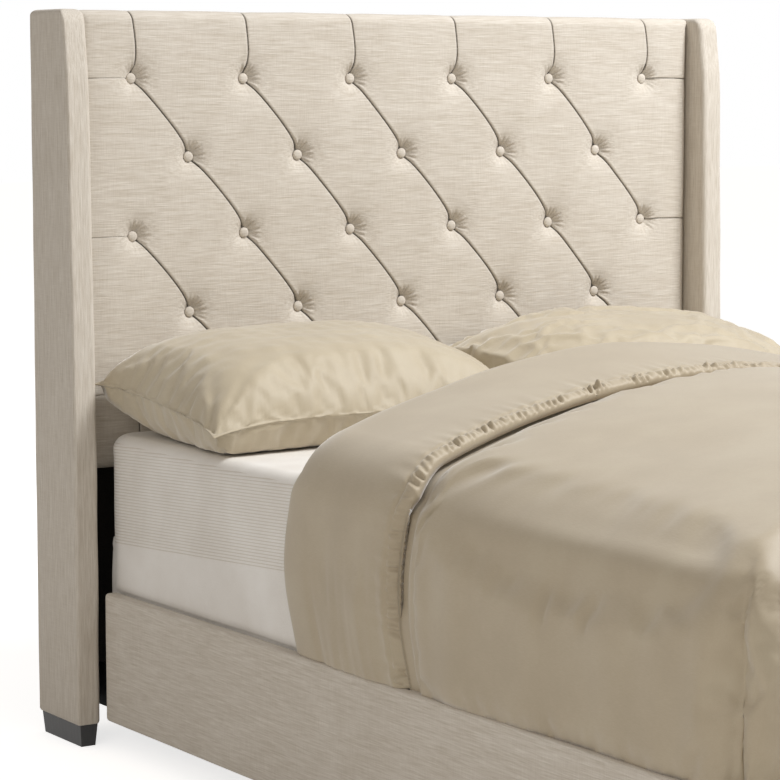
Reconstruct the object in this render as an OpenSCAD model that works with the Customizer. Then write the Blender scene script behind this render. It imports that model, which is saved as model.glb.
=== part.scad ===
// Queen size bed with a winged, diamond tufted headboard, upholstered side rails and a low footboard.
// Origin: on the floor, under the middle of the bed. +X right, +Y towards the head end, +Z up.

/* [Headboard] */
// Height of the headboard from the floor
headboard_h = 1505; // [1200:5:1700]
// Padding between the face board and the line where it meets the wings
pad_t = 45; // [35:1:70]
// How far the tufted padding swells ahead of that line
pad_crown = 24; // [10:1:40]
// Height of the padded panel's lower edge from the floor
pad_bottom_z = 563; // [480:1:640]
// Thickness of the face board that the tufts are tied to
face_board_t = 12; // [9:1:18]
// Depth of the headboard's timber frame
frame_t = 34; // [25:1:60]
// Width of the frame's posts and rails
frame_w = 70; // [62:1:90]
// Thickness of the back lining board
back_lining_t = 4; // [3:1:8]
// Height of the frame's bottom rail
bottom_rail_h = 120; // [80:1:160]

/* [Wings] */
// Thickness of a wing with its upholstery
wing_t = 52; // [44:1:90]
// How far a wing reaches ahead of the panel near the floor
wing_reach_low = 91; // [60:1:160]
// How far a wing reaches ahead of the panel near the top
wing_reach_high = 72; // [50:1:160]
// Extra rake of the wing's front edge over its top stretch
wing_top_rake = 14; // [0:1:30]
// Thickness of the foam and fabric on a wing
wing_pad_t = 8; // [5:1:12]
// Radius of a wing's front top corner
wing_front_r = 32; // [12:1:60]
// Radius of a wing's back top corner
wing_back_r = 13; // [12:1:40]

/* [Tufting] */
// Diameter of a covered button
button_d = 22; // [16:1:30]
// Thickness of a covered button
button_t = 10; // [6:1:12]
// Distance between a wing and the nearest button
button_margin = 128.5; // [110:0.5:180]
// Distance of the last row above the padded panel's lower edge
last_row_rise = 153; // [110:1:180]
// Distance of the first row below the top of the headboard
first_row_drop = 139; // [100:1:180]
// Number of rows of buttons
button_rows = 5; // [3:1:5]
// Number of buttons in the first row
button_columns = 6; // [4:1:6]
// How far a button sits behind the crown of the padding
button_sink = 14; // [8:1:18]
// Diameter of the tufting twine
twine_d = 2; // [1:0.5:4]

/* [Side rails and footboard] */
// Height of the rails' lower edge from the floor
rail_floor_gap = 54; // [40:1:90]
// Height of the rails and the footboard
rail_h = 266; // [220:1:340]
// Thickness of an upholstered side rail
rail_t = 30; // [26:1:50]
// Thickness of the foam and fabric on the rails and the footboard
rail_pad_t = 4; // [3:1:8]
// Radius of the rails' padded edges
rail_edge_r = 7; // [5:1:12]
// Gap between a wing's front edge and the end of the side rail
rail_end_gap = 11; // [4:1:30]
// Thickness of the footboard with its upholstery
footboard_t = 50; // [36:1:80]

/* [Base] */
// Width of a slat
slat_w = 70; // [50:1:100]
// Thickness of a slat
slat_t = 20; // [16:1:28]
// Width of a ledger strip
ledger_w = 25; // [20:1:40]
// Height of a ledger strip and of the centre beam
ledger_h = 40; // [30:1:60]
// Width of the centre beam
beam_w = 60; // [50:1:90]
// Side of a centre leg
leg_w = 45; // [36:1:58]
// Distance between the centre legs
leg_pitch = 700; // [400:10:850]

/* [Feet] */
// Height of the blocks under the wings
head_foot_h = 47; // [30:1:80]
// How far a foot stands inside what it carries
foot_inset = 6; // [3:1:10]
// How much a foot narrows on each side towards the floor
foot_taper = 4; // [0:1:8]
// Length of a footboard foot along the footboard
end_foot_l = 70; // [50:1:120]
// Diameter of a levelling glide's pad
glide_d = 36; // [24:1:44]
// Thickness of a levelling glide's pad
glide_pad_t = 8; // [5:1:12]
// Height that a levelling glide can be screwed out
glide_travel = 12; // [5:1:20]

/* [Hardware] */
// Diameter of the frame bolts
bolt_d = 8; // [6:1:10]
// Diameter of the wood screws
screw_d = 5; // [3:0.5:6]
// Thickness of the steel rail brackets
bracket_t = 4; // [3:0.5:6]
// Height of the steel rail brackets
bracket_h = 90; // [70:1:110]
// Radial clearance of bolts and screws in their holes
hole_gap = 0.2; // [0.1:0.05:0.5]

/* [Bedding] */
// Width of the mattress
mattress_w = 1524; // [1370:1:1600]
// Length of the mattress
mattress_l = 2032; // [1880:1:2100]
// Thickness of the mattress
mattress_h = 210; // [150:1:260]
// Thickness of the foundation under the mattress
foundation_h = 205; // [140:1:240]
// Height of the mattress's top above the side rails
mattress_rise = 320; // [300:1:340]
// Gap between the headboard's panel and the mattress
head_gap = 35; // [28:1:60]
// Gap between the mattress and the footboard
foot_gap = 12; // [8:1:40]
// Gap between the foundation and a side rail
side_gap = 8; // [6:1:12]
// Thickness of the fitted sheet
sheet_t = 1.5; // [1:0.5:3]
// Width of a pillow
pillow_w = 756; // [600:1:760]
// Depth of a pillow
pillow_l = 508; // [400:1:540]
// Thickness of a pillow at its middle
pillow_t = 206; // [120:1:220]
// Tilt of a pillow towards the foot end
pillow_tilt = 11; // [5:1:16]
// Height of the duvet's crown above the mattress
duvet_crown = 212; // [140:1:260]
// Thickness of the duvet where it hangs beside the mattress
duvet_side_t = 24; // [15:1:40]
// Distance from the headboard's panel to the duvet's fold at the sides
duvet_start = 842; // [760:1:1200]
// How much nearer the headboard the fold is at the middle of the bed
duvet_bow = 120; // [0:1:140]
// How much further the fold's hem bows than its front edge
duvet_hem_bow = 40; // [0:1:60]
// Width of the turned-back fold, from its front edge to its hem
duvet_fold_w = 372; // [300:1:420]
// Thickness that the fold adds to the duvet
duvet_fold_t = 10; // [6:1:14]
// How far the duvet dips under the fold's hem
duvet_hem_dip = 12; // [0:1:14]

/* [Hidden] */
// Number of slats, and of centre legs with their glides
slat_count = 7;
leg_count = 3;
$fn = 48;

// Small gap between a soft piece and a neighbour that moves apart from it
soft_gap = 0.4;
// Overshoot of a cutting shape past the face that it cuts
cut = 1;

// Across the bed: rails inside the wings, foundation inside the rails
foundation_w = mattress_w - 14;
rail_in_x = foundation_w / 2 + side_gap + 0.5;
rail_out_x = rail_in_x + rail_t;
wing_in_x = rail_out_x + 2.5;
wing_out_x = wing_in_x + wing_t;
wing_core_x = wing_in_x + wing_pad_t;
core_t = wing_t - 2 * wing_pad_t;
wing_mid_x = wing_in_x + wing_t / 2;

// Along the bed, from the back of the headboard to the outside of the footboard
panel_setback = back_lining_t + frame_t + face_board_t + pad_t;
bed_l = panel_setback + head_gap + mattress_l + foot_gap + footboard_t;
back_y = bed_l / 2;
panel_y = back_y - panel_setback;
frame_back_y = back_y - back_lining_t;
frame_y = frame_back_y - frame_t;
board_y = frame_y - face_board_t;
mattress_y1 = panel_y - head_gap;
mattress_y0 = mattress_y1 - mattress_l;
footboard_y1 = -back_y + footboard_t;
rail_y1 = panel_y - wing_reach_low - rail_end_gap;
rail_y0 = footboard_y1;

// Heights
rail_top_z = rail_floor_gap + rail_h;
mattress_top_z = rail_top_z + mattress_rise;
mattress_z = mattress_top_z - mattress_h;
foundation_z = mattress_z - foundation_h;
slat_z = foundation_z - slat_t;
ledger_z = slat_z - ledger_h;
frame_top_z = headboard_h - wing_pad_t;
frame_bottom_z = rail_floor_gap + 6;
bottom_rail_z = frame_bottom_z + 30;
sheet_top_z = mattress_top_z + sheet_t;
first_row_z = headboard_h - first_row_drop;
last_row_z = pad_bottom_z + last_row_rise;

// Tufts
crown_y = panel_y - pad_crown;
button_front_y = crown_y + button_sink;
button_back_y = button_front_y + button_t;
twine_hole_d = twine_d + 1;
washer_t = 2;
washer_d = 18;
button_pitch = 2 * (wing_in_x - button_margin) / (button_columns - 1);
row_pitch = (first_row_z - last_row_z) / (button_rows - 1);
tufts = [for (row = [0:button_rows - 1], col = [0:button_columns - 1 - row % 2])
    [(col - (button_columns - 1 - row % 2) / 2) * button_pitch, first_row_z - row * row_pitch]];

// Hardware
bolt_hole_d = bolt_d + 2 * hole_gap;
bolt_head_t = 5;
bolt_head_d = 1.6 * bolt_d;
screw_hole_d = screw_d + 2 * hole_gap;
screw_head_d = 2 * screw_d;
screw_head_t = 3;
bracket_z = frame_bottom_z + 10;
bracket_reach = 200;
bracket_flange = 36;
bracket_bolt_z = [bracket_z + bracket_h / 4, bracket_z + 3 * bracket_h / 4];
bracket_bolts_y = [rail_y1 - 50, rail_y1 - 150, rail_y0 + 50, rail_y0 + 150];
head_flange_x = rail_in_x + bracket_flange / 2;
foot_flange_x = rail_in_x - bracket_flange / 2 - 2;
wing_bolt_y = (frame_y + frame_back_y) / 2;
wing_bolt_z = [bottom_rail_z + bottom_rail_h + 70, pad_bottom_z - 80,
    (pad_bottom_z + headboard_h) / 2 - 141, headboard_h - 205];
dust_cover_t = 2.5;
dust_cover_y = frame_y - dust_cover_t;
// Depth of each kind of blind hole, and the space left between its bottom and the fastener's tip
hole_end = 2;
post_hole_l = frame_t - 4;
wing_hole_l = core_t - 7;
rail_hole_l = rail_t - rail_pad_t - 3;
footboard_hole_l = footboard_t / 2 + 2;
hanger_hole_l = 25;
foot_hole_l = 36;
leg_hole_l = 40;
slat_hole_l = 28;

// Base
slat_y = [for (i = [0:slat_count - 1])
    rail_y0 + slat_w + i * (rail_y1 - rail_y0 - 2 * slat_w) / (slat_count - 1)];
slat_screw_x = rail_in_x - ledger_w / 2;
leg_y = [for (i = [0:leg_count - 1]) (i - (leg_count - 1) / 2) * leg_pitch + leg_w];
ledger_screw_inset = 150;
ledger_screw_count = 6;
ledger_screw_y = [for (i = [0:ledger_screw_count - 1])
    rail_y0 + ledger_screw_inset
        + i * (rail_y1 - rail_y0 - 2 * ledger_screw_inset) / (ledger_screw_count - 1)];
ledger_screw_z = ledger_z + ledger_h / 2;
hanger_screw_x = beam_w / 4;
hanger_screw_z = ledger_z - 18;
end_foot_h = rail_floor_gap;
glide_gap = 0.05;
glide_neck_d = 14;
glide_neck_h = 5;
stem_d = 8;
leg_bottom_z = glide_pad_t + 14;
insert_l = 16;
insert_d = 14;
stem_end = 30;
stem_top_z = leg_bottom_z + insert_l + glide_travel + stem_end;

// ---------- shared shapes ----------

// A box between two corners
module block(a, b) {
    translate(a)
        cube(b - a);
}

// Points of an arc, for rounding an outline
function arc(c, r, a0, a1, steps = 6) =
    [for (i = [0:steps]) let (a = a0 + (a1 - a0) * i / steps) [c[0] + r * cos(a), c[1] + r * sin(a)]];

// Rectangle with round corners, between two corner points
function round_rect(a, b, r) = concat(
    arc([b[0] - r, b[1] - r], r, 0, 90),
    arc([a[0] + r, b[1] - r], r, 90, 180),
    arc([a[0] + r, a[1] + r], r, 180, 270),
    arc([b[0] - r, a[1] + r], r, 270, 360));

// Rectangle with only its upper corners round
function round_top(a, b, r) = concat(
    arc([b[0] - r, b[1] - r], r, 0, 90),
    arc([a[0] + r, b[1] - r], r, 90, 180),
    [a, [b[0], a[1]]]);

// Outline in Y and Z pushed out along X
module along_x(points, x0, x1) {
    translate([x0, 0, 0])
        rotate([90, 0, 90])
            linear_extrude(x1 - x0)
                polygon(points);
}

// Outline in X and Z pushed out along Y
module along_y(points, y0, y1) {
    translate([0, y1, 0])
        rotate([90, 0, 0])
            linear_extrude(y1 - y0)
                polygon(points);
}

// Outline in X and Y pushed out along Z
module along_z(points, z0, z1) {
    translate([0, 0, z0])
        linear_extrude(z1 - z0)
            polygon(points);
}

// Round bar along an axis, from a point
module bar_x(p, d, l) {
    translate(p)
        rotate([0, 90, 0])
            cylinder(d = d, h = l);
}

module bar_y(p, d, l) {
    translate(p)
        rotate([-90, 0, 0])
            cylinder(d = d, h = l);
}

module bar_z(p, d, l) {
    translate(p)
        cylinder(d = d, h = l);
}

// Soft block with round upright corners and round top and bottom edges
module soft_block(a, b, r_plan, r_edge) {
    intersection() {
        along_z(round_rect([a[0], a[1]], [b[0], b[1]], r_plan), a[2], b[2]);
        along_y(round_rect([a[0], a[2]], [b[0], b[2]], r_edge), a[1] - cut, b[1] + cut);
        along_x(round_rect([a[1], a[2]], [b[1], b[2]], r_edge), a[0] - cut, b[0] + cut);
    }
}

// Draws its children on one side of the bed: -1 left, 1 right
module side(s) {
    if (s < 0)
        mirror([1, 0, 0])
            children();
    else
        children();
}

// ---------- headboard ----------

module headboard_post(s) {
    color("burlywood")
        side(s)
            difference() {
                block([wing_core_x - frame_w, frame_y, frame_bottom_z],
                    [wing_core_x, frame_back_y, frame_top_z]);
                for (z = wing_bolt_z)
                    bar_x([wing_core_x - frame_w - cut, wing_bolt_y, z], bolt_hole_d, frame_w + 2 * cut);
                for (z = bracket_bolt_z)
                    bar_y([head_flange_x, frame_y - cut, z], bolt_hole_d, post_hole_l + cut);
            }
}

module frame_rail(z0, z1) {
    color("burlywood")
        block([frame_w - wing_core_x, frame_y, z0], [wing_core_x - frame_w, frame_back_y, z1]);
}

module headboard_bottom_rail() {
    color("burlywood")
        difference() {
            frame_rail(bottom_rail_z, bottom_rail_z + bottom_rail_h);
            for (x = [-1, 1] * hanger_screw_x)
                bar_y([x, frame_y - cut, hanger_screw_z], screw_hole_d, hanger_hole_l + cut);
        }
}

module headboard_face_board() {
    color("tan")
        difference() {
            block([-wing_core_x, board_y, pad_bottom_z], [wing_core_x, frame_y, frame_top_z]);
            for (t = tufts)
                bar_y([t[0], board_y - cut, t[1]], twine_hole_d, face_board_t + 2 * cut);
        }
}

// Foam and linen over the face board, wrapped over the top of the frame
module tufted_pad() {
    edge_r = pad_crown - 2;
    color("linen")
        difference() {
            intersection() {
                along_z(
                    concat(
                        [[wing_in_x, back_y], [-wing_in_x, back_y]],
                        arc([edge_r - wing_in_x, crown_y + edge_r], edge_r, 180, 270),
                        arc([wing_in_x - edge_r, crown_y + edge_r], edge_r, 270, 360)),
                    pad_bottom_z, headboard_h);
                along_x(
                    concat(
                        [[board_y, pad_bottom_z]],
                        arc([crown_y + edge_r, pad_bottom_z + edge_r], edge_r, 270, 180),
                        arc([crown_y + edge_r, headboard_h - edge_r], edge_r, 180, 90),
                        [[back_y, headboard_h], [back_y, frame_top_z], [board_y, frame_top_z]]),
                    -wing_in_x - cut, wing_in_x + cut);
            }
            for (t = tufts) {
                translate([t[0], button_back_y, t[1]])
                    rotate([90, 0, 0])
                        cylinder(d1 = button_d + 2, d2 = 3 * button_d,
                            h = button_back_y - crown_y + cut / 10);
                bar_y([t[0], button_back_y - cut, t[1]], twine_hole_d, pad_t + pad_crown);
            }
        }
}

// Covered buttons with a domed front
module tuft_buttons() {
    dome = button_t * 0.6;
    color("wheat")
        for (t = tufts)
            translate([t[0], button_back_y, t[1]])
                rotate([90, 0, 0])
                    rotate_extrude()
                        polygon(concat([[0, 0], [button_d / 2 - 1, 0], [button_d / 2, 1]],
                            [for (a = [0:15:90]) [button_d / 2 * cos(a), button_t - dome + dome * sin(a)]]));
}

// Twine from each button through the padding and the face board, held by a washer behind
module tuft_ties() {
    color("white")
        for (t = tufts) {
            bar_y([t[0], button_back_y, t[1]], twine_d, frame_y - button_back_y + washer_t);
            bar_y([t[0], frame_y, t[1]], washer_d, washer_t);
        }
}

module back_lining() {
    color("dimgray")
        block([-wing_core_x, frame_back_y, frame_bottom_z], [wing_core_x, back_y, frame_top_z]);
}

// Black lining that closes the frame below the padded panel
module lower_dust_cover() {
    color("black")
        difference() {
            block([-wing_core_x, dust_cover_y, frame_bottom_z], [wing_core_x, frame_y, pad_bottom_z]);
            for (s = [-1, 1], z = bracket_bolt_z)
                bar_y([s * head_flange_x, dust_cover_y - cut, z], bolt_hole_d, dust_cover_t + 2 * cut);
            for (x = [-1, 1] * hanger_screw_x)
                bar_y([x, dust_cover_y - cut, hanger_screw_z], screw_hole_d, dust_cover_t + 2 * cut);
        }
}

// ---------- wings ----------

// Side outline of a wing: upright back, front edge that leans back towards the top
function wing_outline(inset) = let (
    top = headboard_h - inset,
    back = back_y - inset,
    front_r = max(wing_front_r - inset, 4),
    back_r = max(wing_back_r - inset, 4),
    upright_z = 600,
    rake_z = headboard_h - 150,
    narrowing = function (z) max(0, (z - upright_z) / (headboard_h - upright_z)),
    reach = function (z) wing_reach_low + (wing_reach_high - wing_reach_low) * narrowing(z),
    rake = function (z) wing_top_rake * pow(max(0, (z - rake_z) / (headboard_h - rake_z)), 2),
    front = function (z) panel_y - reach(z) + rake(z) + inset)
    concat(
        [[back, head_foot_h]],
        arc([back - back_r, top - back_r], back_r, 0, 90),
        arc([front(headboard_h - wing_front_r) + front_r, top - front_r], front_r, 90, 180),
        [for (z = [headboard_h - 70:-40:rake_z]) [front(z), z]],
        [for (z = [rake_z, upright_z, head_foot_h]) [front(z), z]]);

module wing_core(s) {
    color("burlywood")
        side(s)
            difference() {
                along_x(wing_outline(wing_pad_t), wing_core_x, wing_core_x + core_t);
                for (z = wing_bolt_z)
                    bar_x([wing_core_x - cut, wing_bolt_y, z], bolt_hole_d, wing_hole_l + cut);
                for (y = head_foot_screw_y)
                    bar_z([wing_mid_x, y, head_foot_h - cut], screw_hole_d, foot_hole_l + cut);
            }
}

// Linen over foam on both faces, the edges and the top, open where the frame and the foot meet the core
module wing_cover(s) {
    color("linen")
        side(s)
            difference() {
                along_x(wing_outline(0), wing_in_x, wing_out_x);
                along_x(wing_outline(wing_pad_t), wing_core_x, wing_core_x + core_t);
                block([wing_core_x, panel_y - wing_reach_low + wing_pad_t, head_foot_h - cut],
                    [wing_core_x + core_t, back_y - wing_pad_t, head_foot_h + cut]);
                block([wing_in_x - cut, board_y, head_foot_h - cut],
                    [wing_core_x, back_y + cut, frame_top_z]);
            }
}

module wing_bolts() {
    color("silver")
        for (s = [-1, 1])
            side(s)
                for (z = wing_bolt_z)
                    translate([wing_core_x - frame_w, wing_bolt_y, z]) {
                        bar_x([0, 0, 0], bolt_d, frame_w + wing_hole_l - hole_end);
                        bar_x([-bolt_head_t, 0, 0], bolt_head_d, bolt_head_t);
                    }
}

// ---------- feet ----------

head_foot_y0 = panel_y - wing_reach_low + foot_inset;
head_foot_y1 = back_y - foot_inset;
head_foot_screw_y = [head_foot_y0 + 40, head_foot_y1 - 40];
end_foot_x1 = rail_out_x - foot_inset;
end_foot_x0 = end_foot_x1 - end_foot_l;
end_foot_y0 = -back_y + foot_inset;
end_foot_y1 = footboard_y1 - foot_inset;
end_foot_mid_y = (end_foot_y0 + end_foot_y1) / 2;
end_foot_screw_x = [end_foot_x0 + 18, end_foot_x1 - 18];

// Block that narrows towards the floor
module foot_block(x0, x1, y0, y1, h) {
    intersection() {
        along_y([[x0 + foot_taper, 0], [x1 - foot_taper, 0], [x1, h], [x0, h]], y0, y1);
        along_x([[y0 + foot_taper, 0], [y1 - foot_taper, 0], [y1, h], [y0, h]], x0, x1);
    }
}

// Hole for a countersunk screw that is driven up from below
module foot_screw_hole(p, h) {
    bar_z([p[0], p[1], -cut], screw_hole_d, h + 2 * cut);
    bar_z([p[0], p[1], -cut], screw_head_d + 1, h / 2 + cut);
}

module head_foot(s) {
    color("black")
        side(s)
            difference() {
                foot_block(wing_in_x + foot_inset, wing_out_x - foot_inset,
                    head_foot_y0, head_foot_y1, head_foot_h);
                for (y = head_foot_screw_y)
                    foot_screw_hole([wing_mid_x, y], head_foot_h);
            }
}

module end_foot(s) {
    color("black")
        side(s)
            difference() {
                foot_block(end_foot_x0, end_foot_x1, end_foot_y0, end_foot_y1, end_foot_h);
                for (x = end_foot_screw_x)
                    foot_screw_hole([x, end_foot_mid_y], end_foot_h);
            }
}

module foot_screw(p, h) {
    translate([p[0], p[1], h / 2]) {
        bar_z([0, 0, 0], screw_d, h / 2 + foot_hole_l - hole_end);
        bar_z([0, 0, -screw_head_t], screw_head_d, screw_head_t);
    }
}

module foot_screws() {
    color("silver")
        for (s = [-1, 1])
            side(s) {
                for (y = head_foot_screw_y)
                    foot_screw([wing_mid_x, y], head_foot_h);
                for (x = end_foot_screw_x)
                    foot_screw([x, end_foot_mid_y], end_foot_h);
            }
}

// ---------- side rails ----------

rail_core_z0 = rail_floor_gap + rail_pad_t;
rail_core_z1 = rail_top_z - rail_pad_t;

// Holes through the inside face of a rail for the bracket bolts and the ledger screws
module rail_holes() {
    for (y = bracket_bolts_y, z = bracket_bolt_z)
        bar_x([rail_in_x - cut, y, z], bolt_hole_d, rail_hole_l + cut);
    for (y = ledger_screw_y)
        bar_x([rail_in_x - cut, y, ledger_screw_z], screw_hole_d, rail_hole_l + cut);
}

module rail_core(s) {
    color("burlywood")
        side(s)
            difference() {
                block([rail_in_x + rail_pad_t, rail_y0, rail_core_z0],
                    [rail_out_x - rail_pad_t, rail_y1 - rail_pad_t, rail_core_z1]);
                rail_holes();
            }
}

// Linen over thin foam, a sleeve round the rail that closes at the head end
module rail_cover(s) {
    color("linen")
        side(s)
            difference() {
                intersection() {
                    along_y(round_rect([rail_in_x, rail_floor_gap], [rail_out_x, rail_top_z], rail_edge_r),
                        rail_y0, rail_y1);
                    along_z(round_top([rail_in_x, rail_y0], [rail_out_x, rail_y1], rail_edge_r),
                        0, rail_top_z + cut);
                }
                block([rail_in_x + rail_pad_t, rail_y0 - cut, rail_core_z0],
                    [rail_out_x - rail_pad_t, rail_y1 - rail_pad_t, rail_core_z1]);
                rail_holes();
            }
}

module ledger(s) {
    color("burlywood")
        side(s)
            difference() {
                block([rail_in_x - ledger_w, rail_y0, ledger_z], [rail_in_x, rail_y1 - rail_pad_t, slat_z]);
                for (y = ledger_screw_y)
                    bar_x([rail_in_x - ledger_w - cut, y, ledger_screw_z], screw_hole_d, ledger_w + 2 * cut);
                for (y = slat_y)
                    bar_z([slat_screw_x, y, slat_z - slat_hole_l], screw_hole_d, slat_hole_l + cut);
            }
}

module ledger_screws() {
    color("silver")
        for (s = [-1, 1])
            side(s)
                for (y = ledger_screw_y)
                    translate([rail_in_x - ledger_w, y, ledger_screw_z]) {
                        bar_x([0, 0, 0], screw_d, ledger_w + rail_hole_l - hole_end);
                        bar_x([-screw_head_t, 0, 0], screw_head_d, screw_head_t);
                    }
}

// Angle bracket: a plate on the rail's inside face and a flange on the post
module rail_bracket_head(s) {
    y0 = rail_y1 - bracket_reach;
    y1 = dust_cover_y;
    z1 = bracket_z + bracket_h;
    color("dimgray")
        side(s)
            difference() {
                union() {
                    block([rail_in_x - bracket_t, y0, bracket_z], [rail_in_x, y1, z1]);
                    block([rail_in_x - bracket_t, y1 - bracket_t, bracket_z],
                        [head_flange_x + bracket_flange / 3, y1, z1]);
                }
                bracket_holes();
                for (z = bracket_bolt_z)
                    bar_y([head_flange_x, y1 - bracket_t - cut, z], bolt_hole_d, bracket_t + 2 * cut);
            }
}

// Holes through the plates of the brackets on one rail
module bracket_holes() {
    for (y = bracket_bolts_y, z = bracket_bolt_z)
        bar_x([rail_in_x - bracket_t - cut, y, z], bolt_hole_d, bracket_t + 2 * cut);
}

// Angle bracket: a plate on the rail's inside face and a flange on the footboard
module rail_bracket_foot(s) {
    z1 = bracket_z + bracket_h;
    color("dimgray")
        side(s)
            difference() {
                union() {
                    block([rail_in_x - bracket_t, rail_y0, bracket_z],
                        [rail_in_x, rail_y0 + bracket_reach, z1]);
                    block([rail_in_x - bracket_flange, rail_y0, bracket_z],
                        [rail_in_x, rail_y0 + bracket_t, z1]);
                }
                bracket_holes();
                for (z = bracket_bolt_z)
                    bar_y([foot_flange_x, rail_y0 - cut, z], bolt_hole_d, bracket_t + 2 * cut);
            }
}

// Bolt along +X with its head at the start
module bolt_x(p, l) {
    bar_x(p, bolt_d, l);
    bar_x(p - [bolt_head_t, 0, 0], bolt_head_d, bolt_head_t);
}

// Bolt along Y with its head at the start: d is the direction
module bolt_y(p, l, d) {
    bar_y(p - [0, d < 0 ? l : 0, 0], bolt_d, l);
    bar_y(p - [0, d < 0 ? 0 : bolt_head_t, 0], bolt_head_d, bolt_head_t);
}

// Bolts that hold the brackets to the rails, the posts and the footboard, and the beam hangers' screws
module frame_bolts() {
    color("silver") {
        for (s = [-1, 1])
            side(s)
                for (z = bracket_bolt_z) {
                    for (y = bracket_bolts_y)
                        bolt_x([rail_in_x - bracket_t, y, z], bracket_t + rail_hole_l - hole_end);
                    bolt_y([head_flange_x, dust_cover_y - bracket_t, z],
                        bracket_t + dust_cover_t + post_hole_l - hole_end, 1);
                    bolt_y([foot_flange_x, rail_y0 + bracket_t, z],
                        bracket_t + footboard_hole_l - hole_end, -1);
                }
        for (x = [-1, 1] * hanger_screw_x) {
            head_l = bracket_t + dust_cover_t + hanger_hole_l - hole_end;
            foot_l = bracket_t + hanger_hole_l - hole_end;
            translate([x, dust_cover_y - bracket_t, hanger_screw_z]) {
                bar_y([0, 0, 0], screw_d, head_l);
                bar_y([0, -screw_head_t, 0], screw_head_d, screw_head_t);
            }
            translate([x, rail_y0 + bracket_t, hanger_screw_z]) {
                bar_y([0, -foot_l, 0], screw_d, foot_l);
                bar_y([0, 0, 0], screw_head_d, screw_head_t);
            }
        }
    }
}

// ---------- footboard ----------

module footboard_core() {
    color("burlywood")
        difference() {
            block([rail_pad_t - rail_out_x, -back_y + rail_pad_t, rail_core_z0],
                [rail_out_x - rail_pad_t, footboard_y1 - rail_pad_t, rail_core_z1]);
            footboard_holes();
        }
}

module footboard_holes() {
    for (s = [-1, 1])
        side(s) {
            for (z = bracket_bolt_z)
                bar_y([foot_flange_x, footboard_y1 - footboard_hole_l, z],
                    bolt_hole_d, footboard_hole_l + cut);
            for (x = end_foot_screw_x)
                bar_z([x, end_foot_mid_y, rail_floor_gap - cut], screw_hole_d, foot_hole_l + cut);
        }
    for (x = [-1, 1] * hanger_screw_x)
        bar_y([x, footboard_y1 - hanger_hole_l, hanger_screw_z], screw_hole_d, hanger_hole_l + cut);
}

module footboard_cover() {
    color("linen")
        difference() {
            intersection() {
                along_x(round_rect([-back_y, rail_floor_gap], [footboard_y1, rail_top_z], rail_edge_r),
                    -rail_out_x, rail_out_x);
                along_y(round_rect([-rail_out_x, rail_floor_gap], [rail_out_x, rail_top_z], rail_edge_r),
                    -back_y - cut, footboard_y1 + cut);
            }
            block([rail_pad_t - rail_out_x, -back_y + rail_pad_t, rail_core_z0],
                [rail_out_x - rail_pad_t, footboard_y1 - rail_pad_t, rail_core_z1]);
            footboard_holes();
        }
}

// ---------- base ----------

beam_y1 = dust_cover_y - bracket_t - 1;
beam_y0 = rail_y0 + bracket_t + 1;
hanger_l = 50;
hanger_low_z = ledger_z - 36;

module centre_beam() {
    color("burlywood")
        difference() {
            block([-beam_w / 2, beam_y0, ledger_z], [beam_w / 2, beam_y1, slat_z]);
            for (y = leg_y) {
                bar_z([0, y, ledger_z - cut], bolt_hole_d, ledger_h + 2 * cut);
                bar_z([0, y, slat_z - bolt_head_t - 1], bolt_head_d + 1, bolt_head_t + 1 + cut);
            }
        }
}

// Steel pocket that holds an end of the centre beam; d points from the plate into the bed
module beam_hanger(y, d) {
    cheek = bracket_t;
    half = beam_w / 2 + 0.5;
    color("dimgray")
        translate([0, y, 0])
            mirror([0, d < 0 ? 1 : 0, 0])
                difference() {
                    union() {
                        block([-half - cheek, 0, hanger_low_z], [half + cheek, bracket_t, slat_z]);
                        block([-half - cheek, 0, ledger_z - bracket_t], [half + cheek, hanger_l, ledger_z]);
                        for (s = [-1, 1])
                            side(s)
                                block([half, 0, ledger_z - bracket_t], [half + cheek, hanger_l, slat_z]);
                    }
                    for (x = [-1, 1] * hanger_screw_x)
                        bar_y([x, -cut, hanger_screw_z], screw_hole_d, bracket_t + 2 * cut);
                }
}

module centre_leg(y) {
    color("burlywood")
        difference() {
            block([-leg_w / 2, y - leg_w / 2, leg_bottom_z], [leg_w / 2, y + leg_w / 2, ledger_z]);
            bar_z([0, y, leg_bottom_z - cut], insert_d, insert_l + cut);
            bar_z([0, y, leg_bottom_z], stem_d + 1, stem_top_z - leg_bottom_z + hole_end);
            bar_z([0, y, ledger_z - leg_hole_l], bolt_hole_d, leg_hole_l + cut);
        }
}

// Round pad on a threaded stem that screws into the insert in the leg
module levelling_glide(y) {
    color("gray")
        union() {
            bar_z([0, y, 0], glide_d, glide_pad_t);
            bar_z([0, y, 0], stem_d, stem_top_z);
            bar_z([0, y, 0], glide_neck_d, glide_pad_t + glide_neck_h);
        }
}

module glide_inserts() {
    color("silver")
        for (y = leg_y)
            difference() {
                bar_z([0, y, leg_bottom_z], insert_d, insert_l);
                bar_z([0, y, leg_bottom_z - cut], stem_d + 2 * glide_gap, insert_l + 2 * cut);
            }
}

module leg_bolts() {
    color("silver")
        for (y = leg_y) {
            bar_z([0, y, ledger_z - leg_hole_l + hole_end], bolt_d,
                ledger_h + leg_hole_l - hole_end - bolt_head_t - 1);
            bar_z([0, y, slat_z - bolt_head_t - 1], bolt_head_d, bolt_head_t);
        }
}

module slat(y) {
    color("wheat")
        difference() {
            block([0.5 - rail_in_x, y - slat_w / 2, slat_z], [rail_in_x - 0.5, y + slat_w / 2, foundation_z]);
            for (x = [-1, 1] * slat_screw_x) {
                bar_z([x, y, slat_z - cut], screw_hole_d, slat_t + 2 * cut);
                bar_z([x, y, foundation_z - screw_head_t - 1], screw_head_d + 1, screw_head_t + 1 + cut);
            }
        }
}

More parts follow.
